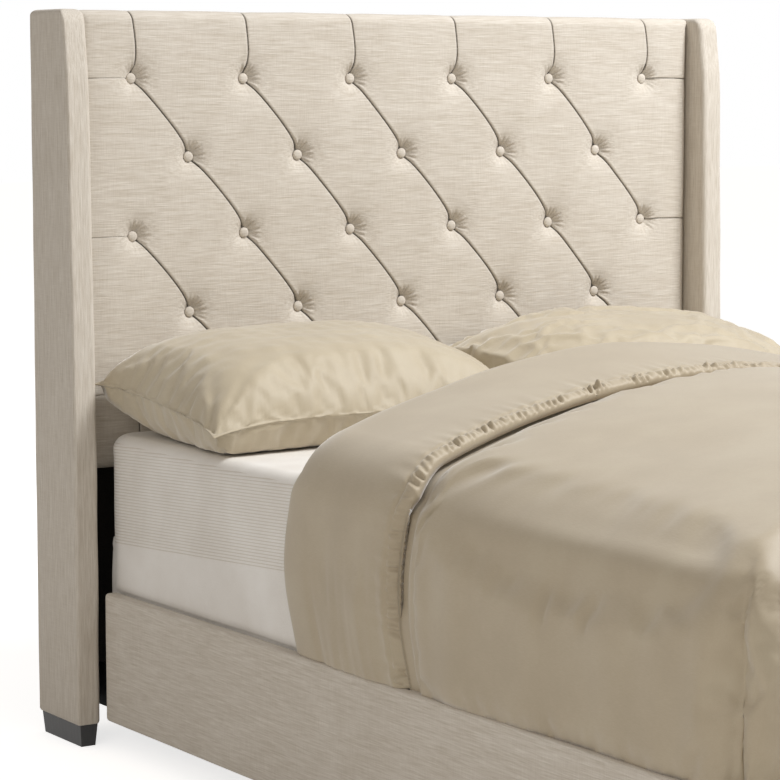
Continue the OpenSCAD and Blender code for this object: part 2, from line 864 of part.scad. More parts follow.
module slat_screws() {
    color("silver")
        for (y = slat_y, x = [-1, 1] * slat_screw_x) {
            bar_z([x, y, slat_z - slat_hole_l + hole_end], screw_d,
                slat_hole_l - hole_end + slat_t - screw_head_t - 1);
            bar_z([x, y, foundation_z - screw_head_t - 1], screw_head_d, screw_head_t);
        }
}

// ---------- bedding ----------

mattress_r = 70;
mattress_edge_r = 32;
sheet_gap = 0.3;
sheet_grow = sheet_t + sheet_gap;
// The sheet's sides hang to just above the rails, over the foundation
sheet_hem_gap = 1.6;
sheet_hem_z = rail_top_z + sheet_hem_gap;
sheet_cut_z = sheet_hem_z - mattress_edge_r - sheet_grow - cut;
mattress_half = mattress_w / 2 - sheet_grow;
foundation_inset = 6;

module foundation() {
    color("whitesmoke")
        soft_block([-foundation_w / 2, mattress_y0 + foundation_inset, foundation_z],
            [foundation_w / 2, mattress_y1 - foundation_inset, mattress_z - sheet_gap],
            mattress_r - foundation_inset, 8);
}

module mattress() {
    color("white")
        soft_block([-mattress_half, mattress_y0 + sheet_grow, mattress_z],
            [mattress_half, mattress_y1 - sheet_grow, mattress_top_z - sheet_gap],
            mattress_r, mattress_edge_r);
}

// Fitted sheet: a skin over the top of the mattress that hangs down its sides and the foundation's
module fitted_sheet() {
    inner_half = mattress_half + sheet_gap;
    color("white")
        difference() {
            soft_block([-mattress_w / 2, mattress_y0, sheet_cut_z],
                [mattress_w / 2, mattress_y1, sheet_top_z],
                mattress_r + sheet_grow, mattress_edge_r + sheet_grow);
            soft_block([-inner_half, mattress_y0 + sheet_t, sheet_cut_z - cut],
                [inner_half, mattress_y1 - sheet_t, mattress_top_z],
                mattress_r + sheet_gap, mattress_edge_r + sheet_gap);
            block([-mattress_w, mattress_y0 - cut, 0], [mattress_w, mattress_y1 + cut, sheet_hem_z]);
        }
}

// Share of a pillow's full thickness at a place on it: u and v run from -1 to 1 across and along
function pillow_swell(u) = pow(max(0, 1 - pow(abs(u), 2.8)), 0.5);
function pillow_rise(u, v) = pillow_swell(u) * pillow_swell(v);

// The sides pull in between the corners
function pillow_pull(u) = 1 - 0.045 * (1 - pow(abs(u), 3));

module pillow_shape(w, l, t) {
    nu = 14;
    nv = 10;
    edge = 5;
    point = function (i, j, up) let (u = 2 * i / nu - 1, v = 2 * j / nv - 1)
        [u * w / 2 * pillow_pull(v), v * l / 2 * pillow_pull(u),
            up * (edge + (t / 2 - edge) * pillow_rise(u, v))];
    row = nv + 1;
    sheet = (nu + 1) * row;
    rim = concat(
        [for (i = [0:nu - 1]) i * row],
        [for (j = [0:nv - 1]) nu * row + j],
        [for (i = [nu:-1:1]) i * row + nv],
        [for (j = [nv:-1:1]) j]);
    polyhedron(
        points = concat(
            [for (i = [0:nu], j = [0:nv]) point(i, j, 1)],
            [for (i = [0:nu], j = [0:nv]) point(i, j, -1)]),
        faces = concat(
            [for (i = [0:nu - 1], j = [0:nv - 1], h = [0, 1]) let (k = i * row + j)
                h == 0 ? [k, k + 1, k + row + 1] : [k, k + row + 1, k + row]],
            [for (i = [0:nu - 1], j = [0:nv - 1], h = [0, 1]) let (k = sheet + i * row + j)
                h == 0 ? [k, k + row + 1, k + 1] : [k, k + row, k + row + 1]],
            [for (i = [0:len(rim) - 1], h = [0, 1]) let (a = rim[i], b = rim[(i + 1) % len(rim)])
                h == 0 ? [a, b, b + sheet] : [a, b + sheet, a + sheet]]));
}

// Pillow that leans a little on the headboard and lies flat on the sheet
module pillow(s) {
    floor_z = sheet_top_z + soft_gap;
    wing_gap = 9;
    head_gap_y = 20;
    sink = 3;
    middle = [wing_in_x - wing_gap - pillow_w / 2,
        crown_y - head_gap_y - pillow_l / 2 * cos(pillow_tilt),
        floor_z + pillow_t / 2 - sink];
    color("tan")
        difference() {
            translate([s * middle[0], middle[1], middle[2]])
                rotate([pillow_tilt, 0, 0])
                    pillow_shape(pillow_w, pillow_l, pillow_t);
            block([-bed_l, -bed_l, 0], [bed_l, bed_l, floor_z]);
        }
}

// Across the bed the duvet is a low dome that bends down into two straight sides. Along the bed it
// starts in a rolled fold, falls to the fold's hem, swells again and bends down at the foot.
duvet_half = mattress_w / 2 + soft_gap + duvet_side_t;
duvet_low_z = rail_top_z + soft_gap;
duvet_y0 = mattress_y0 - soft_gap - duvet_side_t;
duvet_y1 = panel_y - duvet_start;
duvet_roll_r = 70;
duvet_side_r = 26;
duvet_bend_r = 88;
duvet_corner_r = 60;
duvet_cover_t = 15;
duvet_dome_power = 1.7;

// The lowest that the duvet's outer skin lies over the mattress and its rounded edges
function duvet_floor(x, y) = let (
    r = mattress_edge_r + duvet_cover_t,
    dx = max(0, abs(x) - mattress_w / 2 + mattress_edge_r),
    dy = max(0, mattress_y0 + mattress_edge_r - y),
    rise = r * r - dx * dx - dy * dy)
    rise > 0 ? mattress_top_z - mattress_edge_r + sqrt(rise) : 0;

function ease(t) = let (c = min(1, max(0, t))) c * c * (3 - 2 * c);

// Thickness that the fold adds, and the dip and swell of the body behind its hem, d behind the front
function duvet_step(d) = d < duvet_fold_w ? duvet_fold_t * min(1, sqrt(max(0, duvet_fold_w - d) / 22))
    : 9 * ease((d - duvet_fold_w) / 50) * (1 - ease((d - duvet_fold_w - 120) / 350))
        - duvet_hem_dip * (1 - ease((d - duvet_fold_w - 2) / 45));

// Height of the duvet's crest, and how much lower its shoulders lie, d behind the fold's front
function duvet_crest(d) = let (
    thin = 30 * ease(d / (duvet_fold_w + 70)),
    droop = 45 * min(1, max(0, (d - duvet_fold_w) / (duvet_y1 - duvet_y0 - duvet_fold_w))))
    mattress_top_z + duvet_crown - duvet_fold_t - thin - droop;
function duvet_drop(d) = 150 - 25 * ease(d / duvet_fold_w);

// How much the bend lowers the skin at a place that lies side in from a side and ahead of the foot
function duvet_bend(side, ahead) = let (
    r = duvet_corner_r,
    inside = side < r && ahead < r ? r - norm([r - side, r - ahead]) : min(side, ahead),
    rest = max(0, duvet_bend_r - inside))
    duvet_bend_r - sqrt(max(0, duvet_bend_r * duvet_bend_r - rest * rest));

// Places along the bed: distance behind the fold's front, drop below the crest, pinch at the sides
duvet_stations = let (length = duvet_y1 - duvet_y0, hem = duvet_fold_w) concat(
    [for (a = [0:22.5:90])
        [duvet_roll_r * (1 - cos(a)), duvet_roll_r * (1 - sin(a)), duvet_side_r * (1 - sin(a))]],
    [for (d = [duvet_roll_r + 90:90:hem - 40]) [d, 0, 0]],
    [for (d = [hem - 25, hem - 8, hem, hem + 12, hem + 30, hem + 55]) [d, 0, 0]],
    [for (d = [hem + 120:80:length - duvet_bend_r - 30]) [d, 0, 0]],
    [for (a = [0, 18]) [length - duvet_bend_r + (duvet_bend_r - duvet_corner_r) * sin(5 * a), 0, 0]],
    [for (a = [15:15:90]) let (r = duvet_corner_r) [length - r * (1 - sin(a)), 0, r * (1 - cos(a))]]);

// Points across the bed: share of the half width inside the bend, and distance out from there
duvet_across = concat(
    [for (a = [0, 18, 36, 54, 72, 90]) [1, duvet_bend_r * cos(a)]],
    [for (u = [0.85, 0.65, 0.45, 0.23, 0]) [u, 0]]);

// One point of the outer skin: k steps across, on the right half; flap steps come first
function duvet_point(st, k) = let (
    flap = 3,
    d = st[0],
    swell = duvet_step(d),
    full_half = duvet_half - duvet_fold_t + (swell < 0 ? 0.3 * swell : swell),
    half = full_half - st[2],
    place = duvet_across[max(0, k - flap)],
    x = place[0] * (half - duvet_bend_r) + place[1],
    u = x / duvet_half,
    hang = 1 - ease((d - duvet_fold_w) / 500),
    bow = (duvet_bow + duvet_hem_bow * min(1, d / duvet_fold_w)) * (1 - u * u)
        * (1 - ease((d - duvet_fold_w) / 750)),
    side = (d < duvet_roll_r ? half : full_half) - x,
    skin_z = duvet_crest(d) - st[1] + swell - duvet_drop(d) * pow(u, duvet_dome_power)
        - duvet_bend(side, duvet_y1 - duvet_y0 - d),
    z = k < flap ? duvet_low_z + (skin_z - duvet_low_z) * k / flap
        : k == flap ? skin_z : max(skin_z, duvet_floor(x, duvet_y1 - d + bow)),
    lean = u > 0.9 ? 42 * hang * sin(180 * min(1, max(0, (z - duvet_low_z + 5) / 340))) : 0)
    [x, min(duvet_y1 - d + bow + lean, duvet_y1 + duvet_bow), z];

module duvet_skin() {
    half_n = len(duvet_across) + 3;
    n = 2 * half_n - 1;
    last = len(duvet_stations) - 1;
    loop = function (j) concat(
        [for (k = [0:half_n - 1]) duvet_point(duvet_stations[j], k)],
        [for (k = [half_n - 2:-1:0]) let (p = duvet_point(duvet_stations[j], k)) [-p[0], p[1], p[2]]]);
    ladder = function (j, turn) [for (k = [0:half_n - 2]) let (a = j * n + k, b = j * n + n - 1 - k)
        k == half_n - 2 ? (turn ? [a, a + 1, b] : [b, a + 1, a])
        : (turn ? [a, a + 1, b - 1, b] : [b, b - 1, a + 1, a])];
    polyhedron(
        points = [for (j = [0:last]) each loop(j)],
        faces = concat(
            [for (j = [0:last - 1], k = [0:n - 2], h = [0, 1]) let (a = j * n + k)
                h == 0 ? [a, a + n, a + 1] : [a + 1, a + n, a + n + 1]],
            [for (j = [0:last - 1], h = [0, 1]) let (a = j * n, b = a + n - 1)
                h == 0 ? [a, b, a + n] : [b, b + n, a + n]],
            ladder(0, true),
            ladder(last, false)));
}

module duvet() {
    color("darkkhaki")
        difference() {
            duvet_skin();
            soft_block([-mattress_w / 2 - soft_gap, mattress_y0 - soft_gap,
                    duvet_low_z - mattress_edge_r - cut],
                [mattress_w / 2 + soft_gap, mattress_y1 + mattress_l, sheet_top_z + soft_gap],
                mattress_r, mattress_edge_r);
        }
}

// ---------- assembly ----------

headboard_post(-1);  // headboard_left_post
headboard_post(1);  // headboard_right_post
frame_rail(frame_top_z - frame_w, frame_top_z);  // headboard_top_rail
frame_rail(pad_bottom_z, pad_bottom_z + frame_w);  // headboard_middle_rail
headboard_bottom_rail();
headboard_face_board();
tufted_pad();
tuft_buttons();
tuft_ties();
back_lining();
lower_dust_cover();
wing_core(-1);  // wing_left_core
wing_core(1);  // wing_right_core
wing_cover(-1);  // wing_left_cover
wing_cover(1);  // wing_right_cover
wing_bolts();
head_foot(-1);  // head_foot_left
head_foot(1);  // head_foot_right
end_foot(-1);  // end_foot_left
end_foot(1);  // end_foot_right
foot_screws();
rail_core(-1);  // rail_left_core
rail_core(1);  // rail_right_core
rail_cover(-1);  // rail_left_cover
rail_cover(1);  // rail_right_cover
ledger(-1);  // ledger_left
ledger(1);  // ledger_right
ledger_screws();
rail_bracket_head(-1);  // rail_bracket_head_left
rail_bracket_head(1);  // rail_bracket_head_right
rail_bracket_foot(-1);  // rail_bracket_foot_left
rail_bracket_foot(1);  // rail_bracket_foot_right
frame_bolts();
footboard_core();
footboard_cover();
centre_beam();
beam_hanger(dust_cover_y, -1);  // beam_hanger_head
beam_hanger(rail_y0, 1);  // beam_hanger_foot
for (i = [1:leg_count])
    centre_leg(leg_y[i - 1]);
for (i = [1:leg_count])
    levelling_glide(leg_y[i - 1]);
glide_inserts();
leg_bolts();
for (i = [1:slat_count])
    slat(slat_y[i - 1]);
slat_screws();
foundation();
mattress();
fitted_sheet();
pillow(-1);  // pillow_left
pillow(1);  // pillow_right
duvet();
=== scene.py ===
import bmesh
import bpy
import math
import numpy as np
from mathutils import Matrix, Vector, kdtree


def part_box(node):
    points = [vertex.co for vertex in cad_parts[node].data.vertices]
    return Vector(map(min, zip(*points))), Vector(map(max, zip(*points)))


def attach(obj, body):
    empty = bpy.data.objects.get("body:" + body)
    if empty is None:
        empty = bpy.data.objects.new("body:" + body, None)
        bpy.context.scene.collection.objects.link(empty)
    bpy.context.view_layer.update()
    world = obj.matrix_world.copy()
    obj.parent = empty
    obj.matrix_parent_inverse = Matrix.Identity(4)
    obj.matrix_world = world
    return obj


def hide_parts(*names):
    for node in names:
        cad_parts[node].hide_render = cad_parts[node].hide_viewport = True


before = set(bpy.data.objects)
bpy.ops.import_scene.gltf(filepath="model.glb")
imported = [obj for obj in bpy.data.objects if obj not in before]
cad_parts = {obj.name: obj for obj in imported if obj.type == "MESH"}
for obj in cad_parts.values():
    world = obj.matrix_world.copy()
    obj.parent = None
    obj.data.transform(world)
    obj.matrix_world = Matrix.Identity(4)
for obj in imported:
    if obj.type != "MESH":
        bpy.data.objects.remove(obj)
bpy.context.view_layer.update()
PI = math.pi


# ---------- camera ----------

lens = bpy.data.cameras.new("bed_camera")
lens.lens = 128.66
lens.sensor_width = 36
lens.clip_end = 60
camera = bpy.data.objects.new("bed_camera", lens)
bpy.context.collection.objects.link(camera)
camera.location = (-3.3888, -4.1036, 1.3619)
camera.rotation_euler = (math.radians(83.66), 0, -math.radians(33.29))
bpy.context.scene.camera = camera


# ---------- materials ----------

def linear(hex_colour):
    """sRGB hex to the linear colour that a shader takes."""
    parts = [int(hex_colour[i:i + 2], 16) / 255 for i in (0, 2, 4)]
    return [c / 12.92 if c <= 0.04045 else ((c + 0.055) / 1.055) ** 2.4 for c in parts] + [1]


def feed(node, inputs):
    """Fills a node's sockets, by name or number, with plain values or with other nodes' outputs."""
    for socket, value in dict(inputs).items():
        if isinstance(value, bpy.types.NodeSocket):
            node.id_data.links.new(value, node.inputs[socket])
        else:
            node.inputs[socket].default_value = value


def add(tree, kind, inputs=(), out=0, stops=(), **settings):
    """Adds a node and gives back one of its outputs. stops are a ramp's places, each with a colour
    or a grey."""
    node = tree.nodes.new("ShaderNode" + kind)
    for key, value in settings.items():
        setattr(node, key, value)
    feed(node, inputs)
    for _ in stops[2:]:
        node.color_ramp.elements.new(0.5)
    for k, (place, colour) in enumerate(stops):
        mark = node.color_ramp.elements[k]
        mark.position = place
        mark.color = linear(colour) if isinstance(colour, str) else [colour] * 3 + [1]
    return node.outputs[out] if len(node.outputs) else None


def mingled(tree, *shares):
    """Sum of patterns, each times its share. A share can be a pattern as well."""
    total = 0
    for pattern, share in shares:
        total = add(tree, "Math", {0: pattern, 1: share, 2: total}, operation="MULTIPLY_ADD")
    return total


def new_material(name):
    """A material, its nodes and the place on the piece that its patterns read."""
    material = bpy.data.materials.new(name)
    material.use_nodes = True
    return material, material.node_tree, add(material.node_tree, "TexCoord", out="Object")


def streaks(axis, long, short):
    """Scale of a speckle whose grains run along one axis."""
    return [long if i == axis else short for i in range(3)]


def speckle(tree, place, scale, detail=2, roughness=0.5):
    """Noise whose grains are 1 / scale metres long on each axis."""
    spot = add(tree, "Mapping", {"Vector": place, "Scale": scale})
    return add(tree, "TexNoise", {"Vector": spot, "Scale": 1, "Detail": detail, "Roughness": roughness})


def surfaced(material, colour, height, depth, strength, values):
    """Gives a material its colour, its relief, which is depth metres high, and its plain values."""
    tree = material.node_tree
    relief = add(tree, "Bump", {"Height": height, "Distance": depth, "Strength": strength})
    feed(tree.nodes["Principled BSDF"], {"Base Color": colour, "Normal": relief, **values})
    return material


def linen(name, run, cross):
    """Slubby upholstery linen, loosely woven: slubs 55 mm long and 2.6 mm thick give short streaks
    along run, warp threads a faint cross grain, and the flax is dry, with hardly any gloss. Inside
    a pleat, along the pleat bottoms marked on the mesh, painted shade darkens the colour nearly to black."""
    material, tree, place = new_material(name)
    slub = speckle(tree, place, streaks(run, 18, 380), 3, 0.55)
    weft = speckle(tree, place, streaks(run, 40, 620))
    warp = speckle(tree, place, streaks(cross, 30, 560))
    cloud = speckle(tree, place, (5, 5, 5))
    grain = mingled(tree, (slub, 0.558), (weft, 0.171), (warp, 0.171), (cloud, 0.1))
    colour = add(tree, "ValToRGB", {0: grain},
                 stops=[(0.34, "BDB3A4"), (0.46, "C9C0B3"), (0.54, "D0C8BC"), (0.66, "DBD4C9")])
    # painted shade: a point attribute set along the bottom of each pleat darkens the linen to as little as
    # 0.13 of its colour
    painted_pleat_shade = add(tree, "Attribute", out="Fac", attribute_name="painted_pleat_shade")
    shade = add(tree, "ValToRGB", {0: painted_pleat_shade}, stops=[(0, 1), (0.45, 0.42), (1, 0.13)])
    colour = add(tree, "Mix", {0: 1, 6: colour, 7: shade}, 2, data_type="RGBA", blend_type="MULTIPLY")
    return surfaced(material, colour, grain, 0.0012, 0.8,
                    {"Roughness": 0.92, "Specular IOR Level": 0.25, "Sheen Weight": 0.15})


def sateen(name, dark, middle, light, thread):
    """Cotton sateen bedding: fine floats give a smooth face with a soft sheen, slightly mottled.
    thread is how many lie in a metre, drawn coarse enough to show."""
    material, tree, place = new_material(name)
    fine = speckle(tree, place, streaks(1, thread * 0.12, thread))
    cloud = speckle(tree, place, (9, 9, 9), 3, 0.55)
    mottle = mingled(tree, (fine, 0.35), (cloud, 0.65))
    colour = add(tree, "ValToRGB", {0: mottle}, stops=[(0.38, dark), (0.5, middle), (0.62, light)])
    return surfaced(material, colour, fine, 0.0003, 0.5,
                    {"Roughness": 0.56, "Specular IOR Level": 0.45,
                     "Sheen Weight": 0.5, "Sheen Roughness": 0.45})


def percale(name, ribbed):
    """White cotton percale of the fitted sheet: matt, with a fine plain weave. Its stretch sides are
    knitted in flat ribs that climb a little towards the foot, with painted shade in the troughs between them."""
    material, tree, place = new_material(name)
    fine = speckle(tree, place, (700, 700, 700))
    cloud = speckle(tree, place, (7, 7, 7), 3)
    mottle = mingled(tree, (fine, 0.4), (cloud, 0.6))
    colour = add(tree, "ValToRGB", {0: mottle}, stops=[(0.36, "E4DFD8"), (0.5, "ECE8E2"), (0.64, "F3F0EB")])
    height = mingled(tree, (fine, 0.25))
    if ribbed:
        rib_pitch, climb, lowest = 0.0062, 0.06, 0.472
        level = add(tree, "VectorMath", {0: place, 1: (0, climb, 1)}, "Value", operation="DOT_PRODUCT")
        wave = add(tree, "Math", {0: mingled(tree, (level, 2 * PI / rib_pitch))}, operation="SINE")
        above = add(tree, "Math", {0: level, 1: lowest}, operation="GREATER_THAN")
        normal = add(tree, "NewGeometry", out="Normal")
        upright = add(tree, "SeparateXYZ", {0: normal}, out=2)
        side = add(tree, "Math", {0: upright, 1: 0.55}, operation="LESS_THAN")
        rib = mingled(tree, (mingled(tree, (wave, above)), side))
        height = mingled(tree, (fine, 0.25), (rib, 1))
        # painted shade: the troughs between the ribs are darkened from white to E6E1DA
        shade = add(tree, "ValToRGB", {0: mingled(tree, (rib, -1))}, stops=[(0, "FFFFFF"), (1, "E6E1DA")])
        colour = add(tree, "Mix", {0: 1, 6: colour, 7: shade}, 2, data_type="RGBA", blend_type="MULTIPLY")
    return surfaced(material, colour, height, 0.0006, 0.4,
                    {"Roughness": 0.85, "Specular IOR Level": 0.3, "Sheen Weight": 0.1})


def cambric(name, dark, light):
    """Spun-bonded lining cloth, or twine: thin, dull and fuzzy, with fibres 2 mm apart."""
    material, tree, place = new_material(name)
    fuzz = speckle(tree, place, (420, 420, 420), 4, 0.7)
    colour = add(tree, "ValToRGB", {0: fuzz}, stops=[(0.35, dark), (0.65, light)])
    return surfaced(material, colour, fuzz, 0.0006, 0.8, {"Roughness": 0.95, "Specular IOR Level": 0.2})


def timber(name, along, dark, middle, light, gloss):
    """Sawn or painted timber: long grain lines 4 to 12 mm apart, fine pores, planed face."""
    material, tree, place = new_material(name)
    grain = speckle(tree, place, streaks(along, 2.2, 95), 5, 0.6)
    pore = speckle(tree, place, streaks(along, 30, 900))
    figure = mingled(tree, (grain, 0.75), (pore, 0.25))
    colour = add(tree, "ValToRGB", {0: figure}, stops=[(0.36, dark), (0.5, middle), (0.64, light)])
    return surfaced(material, colour, figure, 0.0005, 0.6, {"Roughness": gloss, "Specular IOR Level": 0.4})


def metal(name, dark, light, metallic, gloss):
    """Plated or painted steel: even colour with slight cloudiness and fine scratches in the gloss."""
    material, tree, place = new_material(name)
    cloud = speckle(tree, place, (120, 120, 120), 3, 0.6)
    colour = add(tree, "ValToRGB", {0: cloud}, stops=[(0.35, dark), (0.65, light)])
    scratches = speckle(tree, place, (900, 60, 60))
    polish = add(tree, "ValToRGB", {0: scratches}, stops=[(0.3, gloss - 0.08), (0.7, gloss + 0.08)])
    return surfaced(material, colour, cloud, 0.0001, 0.4, {"Metallic": metallic, "Roughness": polish})



# ---------- shaping helpers ----------

def bare_selection():
    if bpy.context.object and bpy.context.object.mode != "OBJECT":
        bpy.ops.object.mode_set(mode="OBJECT")
    bpy.ops.object.select_all(action="DESELECT")


def only(obj):
    bare_selection()
    obj.select_set(True)
    bpy.context.view_layer.objects.active = obj


def in_edit(obj, *steps):
    """Runs edit-mode steps on a whole mesh."""
    only(obj)
    bpy.ops.object.mode_set(mode="EDIT")
    bpy.ops.mesh.select_all(action="SELECT")
    for step in steps:
        step()
    bpy.ops.object.mode_set(mode="OBJECT")


def weld():
    bpy.ops.mesh.remove_doubles(threshold=0.00002)


def close_ends():
    bpy.ops.mesh.select_all(action="DESELECT")
    bpy.ops.mesh.select_non_manifold()
    bpy.ops.mesh.fill_holes(sides=0)
    bpy.ops.mesh.select_all(action="SELECT")


def outward():
    bpy.ops.mesh.normals_make_consistent(inside=False)


def co(obj):
    flat = np.empty(len(obj.data.vertices) * 3)
    obj.data.vertices.foreach_get("co", flat)
    return flat.reshape(-1, 3)


def set_co(obj, points):
    obj.data.vertices.foreach_set("co", np.ascontiguousarray(points, dtype=float).ravel())
    obj.data.update()


def woven(name, points):
    """A grid primitive with its points moved to points[row][column]."""
    rows, columns = points.shape[:2]
    bare_selection()
    bpy.ops.mesh.primitive_grid_add(x_subdivisions=columns - 1, y_subdivisions=rows - 1, size=1)
    obj = bpy.context.object
    obj.name = obj.data.name = name
    set_co(obj, points.reshape(-1, 3))
    return obj


def closed(name, points):
    """A woven grid whose rows are closed rings: its long seam is welded and its ends are filled."""
    obj = woven(name, points)
    in_edit(obj, weld, close_ends, outward)
    return obj


def repeated(name, first, shapes):
    """Copies of a piece, each with its own points, joined into one."""
    pieces = []
    for points in shapes:
        piece = first.copy()
        piece.data = first.data.copy()
        bpy.context.collection.objects.link(piece)
        set_co(piece, points)
        pieces.append(piece)
    bpy.data.objects.remove(first)
    only(pieces[0])
    for piece in pieces[1:]:
        piece.select_set(True)
    bpy.ops.object.join()
    pieces[0].name = pieces[0].data.name = name
    return pieces[0]


def smooth_faces(obj, angle=None):
    only(obj)
    if angle is None:
        bpy.ops.object.shade_smooth()
    else:
        bpy.ops.object.shade_smooth_by_angle(angle=math.radians(angle))
    return obj


def finish_with(obj, kind, **settings):
    """Adds a modifier with its settings and applies it."""
    only(obj)
    modifier = obj.modifiers.new(kind.lower(), kind)
    for key, value in settings.items():
        setattr(modifier, key, value)
    bpy.ops.object.modifier_apply(modifier=modifier.name)


def dress(obj, material, body, slot, *nodes):
    """Gives a piece its material, its body and the CAD nodes that it stands for."""
    obj.data.materials.clear()
    obj.data.materials.append(material)
    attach(obj, body)
    if nodes:
        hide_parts(*nodes)
    return obj


def puff(obj, pressure, ease, held, cap):
    """Swells a cloth skin from inside. held points stay, and none moves further than cap."""
    only(obj)
    before = co(obj)
    obj.vertex_groups.new(name="held").add([int(i) for i in held], 1.0, "REPLACE")
    modifier = obj.modifiers.new("cloth", "CLOTH")
    cloth = modifier.settings
    cloth.quality = 5
    cloth.mass = 0.25
    cloth.tension_stiffness = cloth.compression_stiffness = cloth.shear_stiffness = 15.0
    cloth.bending_stiffness = 0.4
    cloth.air_damping = 2.0
    cloth.use_pressure = True
    cloth.uniform_pressure_force = pressure
    cloth.shrink_min = -ease
    cloth.vertex_group_mass = "held"
    cloth.effector_weights.gravity = 0
    modifier.collision_settings.use_collision = False
    steps = 16
    modifier.point_cache.frame_end = steps
    for step in range(1, steps + 1):
        bpy.context.scene.frame_set(step)
    bpy.ops.object.modifier_apply(modifier=modifier.name)
    obj.vertex_groups.clear()
    move = co(obj) - before
    length = np.linalg.norm(move, axis=1, keepdims=True)
    set_co(obj, before + move * np.minimum(1, cap / np.maximum(length, 1e-9)))
    bpy.context.scene.frame_set(1)


def ease_in(t):
    t = np.clip(t, 0, 1)
    return t * t * (3 - 2 * t)


def hump(t):
    """Bell-shaped rise to 1 at t = 0."""
    return np.exp(-t ** 2)


def rumple(points, size, seed):
    """Smooth unevenness from -1 to 1, whose bumps are about half a size across."""
    dice = np.random.default_rng(seed)
    waves, spread = 14, 0.45
    points = np.asarray(points, float)
    total = np.zeros(points.shape[:-1])
    for _ in range(waves):
        heading = dice.normal(size=points.shape[-1])
        heading *= 2 * PI / size * dice.uniform(1 - spread, 1 + spread) / np.linalg.norm(heading)
        total += np.sin(points @ heading + dice.uniform(0, 2 * PI))
    return total / math.sqrt(waves / 2) * 0.5


def rim_and_middle(lo, hi, rim, inset, count):
    """Places from lo to hi: rim says how far in the first and the last few lie, the rest are even."""
    return np.concatenate([lo + rim, np.linspace(lo + inset, hi - inset, count), hi - rim[::-1]])


def even(length, count):
    """Even places along a side, and what they are shares of."""
    return np.arange(1, count), count


def crisp(length, count):
    """Places along a side, close to both corners for a crisp edge and even in between."""
    first, second = min(0.0016, length / 8), min(0.0045, length / 5)
    middle = np.linspace(second, length - second, count + 1)[1:-1]
    return np.concatenate([[first, second], middle, [length - second, length - first]]), length


def rounded(lo, hi, radii, turns, places, counts):
    """Closed rounded rectangle, anticlockwise, with its own radius at each corner: low-low, high-low,
    high-high, low-high. places is even or crisp, counts is for the first and the second side."""
    (a0, b0), (a1, b1) = lo, hi
    corners = [(a0 + radii[0], b0 + radii[0]), (a1 - radii[1], b0 + radii[1]),
               (a1 - radii[2], b1 - radii[2]), (a0 + radii[3], b1 - radii[3])]
    arcs = []
    for k, (a, b) in enumerate(corners):
        angles = [PI + k * PI / 2 + PI / 2 * i / turns for i in range(turns + 1)]
        arcs.append(np.array([(a + radii[k] * math.cos(t), b + radii[k] * math.sin(t)) for t in angles]))
    points = []
    for k in range(4):
        start, end = arcs[k][-1], arcs[(k + 1) % 4][0]
        along, whole = places(math.dist(start, end), counts[k % 2])
        points += [arcs[k], start + (end - start) * along[:, None] / whole]
    return np.concatenate(points + [points[0][:1]])


def bulge(points, amount):
    """Moves a grid of points along its own normal, away from the bed. amount is in metres."""
    normal = np.cross(np.gradient(points, axis=1), np.gradient(points, axis=0))
    normal /= np.maximum(np.linalg.norm(normal, axis=2, keepdims=True), 1e-9)
    if normal[..., 2].mean() < 0:
        normal = -normal
    return points + normal * amount[..., None]


# ---------- the headboard's tufted panel ----------

pad_lo, pad_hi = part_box("tufted_pad")
button_lo, button_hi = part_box("tuft_buttons")
back_lo, back_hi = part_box("back_lining")
BUTTON_R = 0.011
ROW_PITCH, COLUMN_PITCH = 0.1625, 0.267       # between tufts, down and across
LAST_ROW = 4                                  # rows of 6 and 5 tufts take turns
PANEL_X, TOP_Z, LOW_Z = pad_hi.x, pad_hi.z, pad_lo.z
CROWN_Y = pad_lo.y                            # the padding's foremost plane
SIDE_Y = CROWN_Y + 0.024                      # the wings reach forward from here
FACE_R = 0.022                                # the padding's bend at its top and its foot
TOP_S = TOP_Z - FACE_R + FACE_R * PI / 2      # arc length where the cloth has turned over the top

tufts = [((column - (5 - row % 2) / 2) * COLUMN_PITCH, button_hi.z - BUTTON_R - row * ROW_PITCH, row)
         for row in range(LAST_ROW + 1) for column in range(6 - row % 2)]


def bezier(a, b, c, d, count):
    """Points along a curve that leaves a for b and comes to d from c."""
    t = np.linspace(0, 1, count)[:, None]
    a, b, c, d = (np.array(p, float) for p in (a, b, c, d))
    return (1 - t) ** 3 * a + 3 * (1 - t) ** 2 * t * b + 3 * (1 - t) * t * t * c + t ** 3 * d


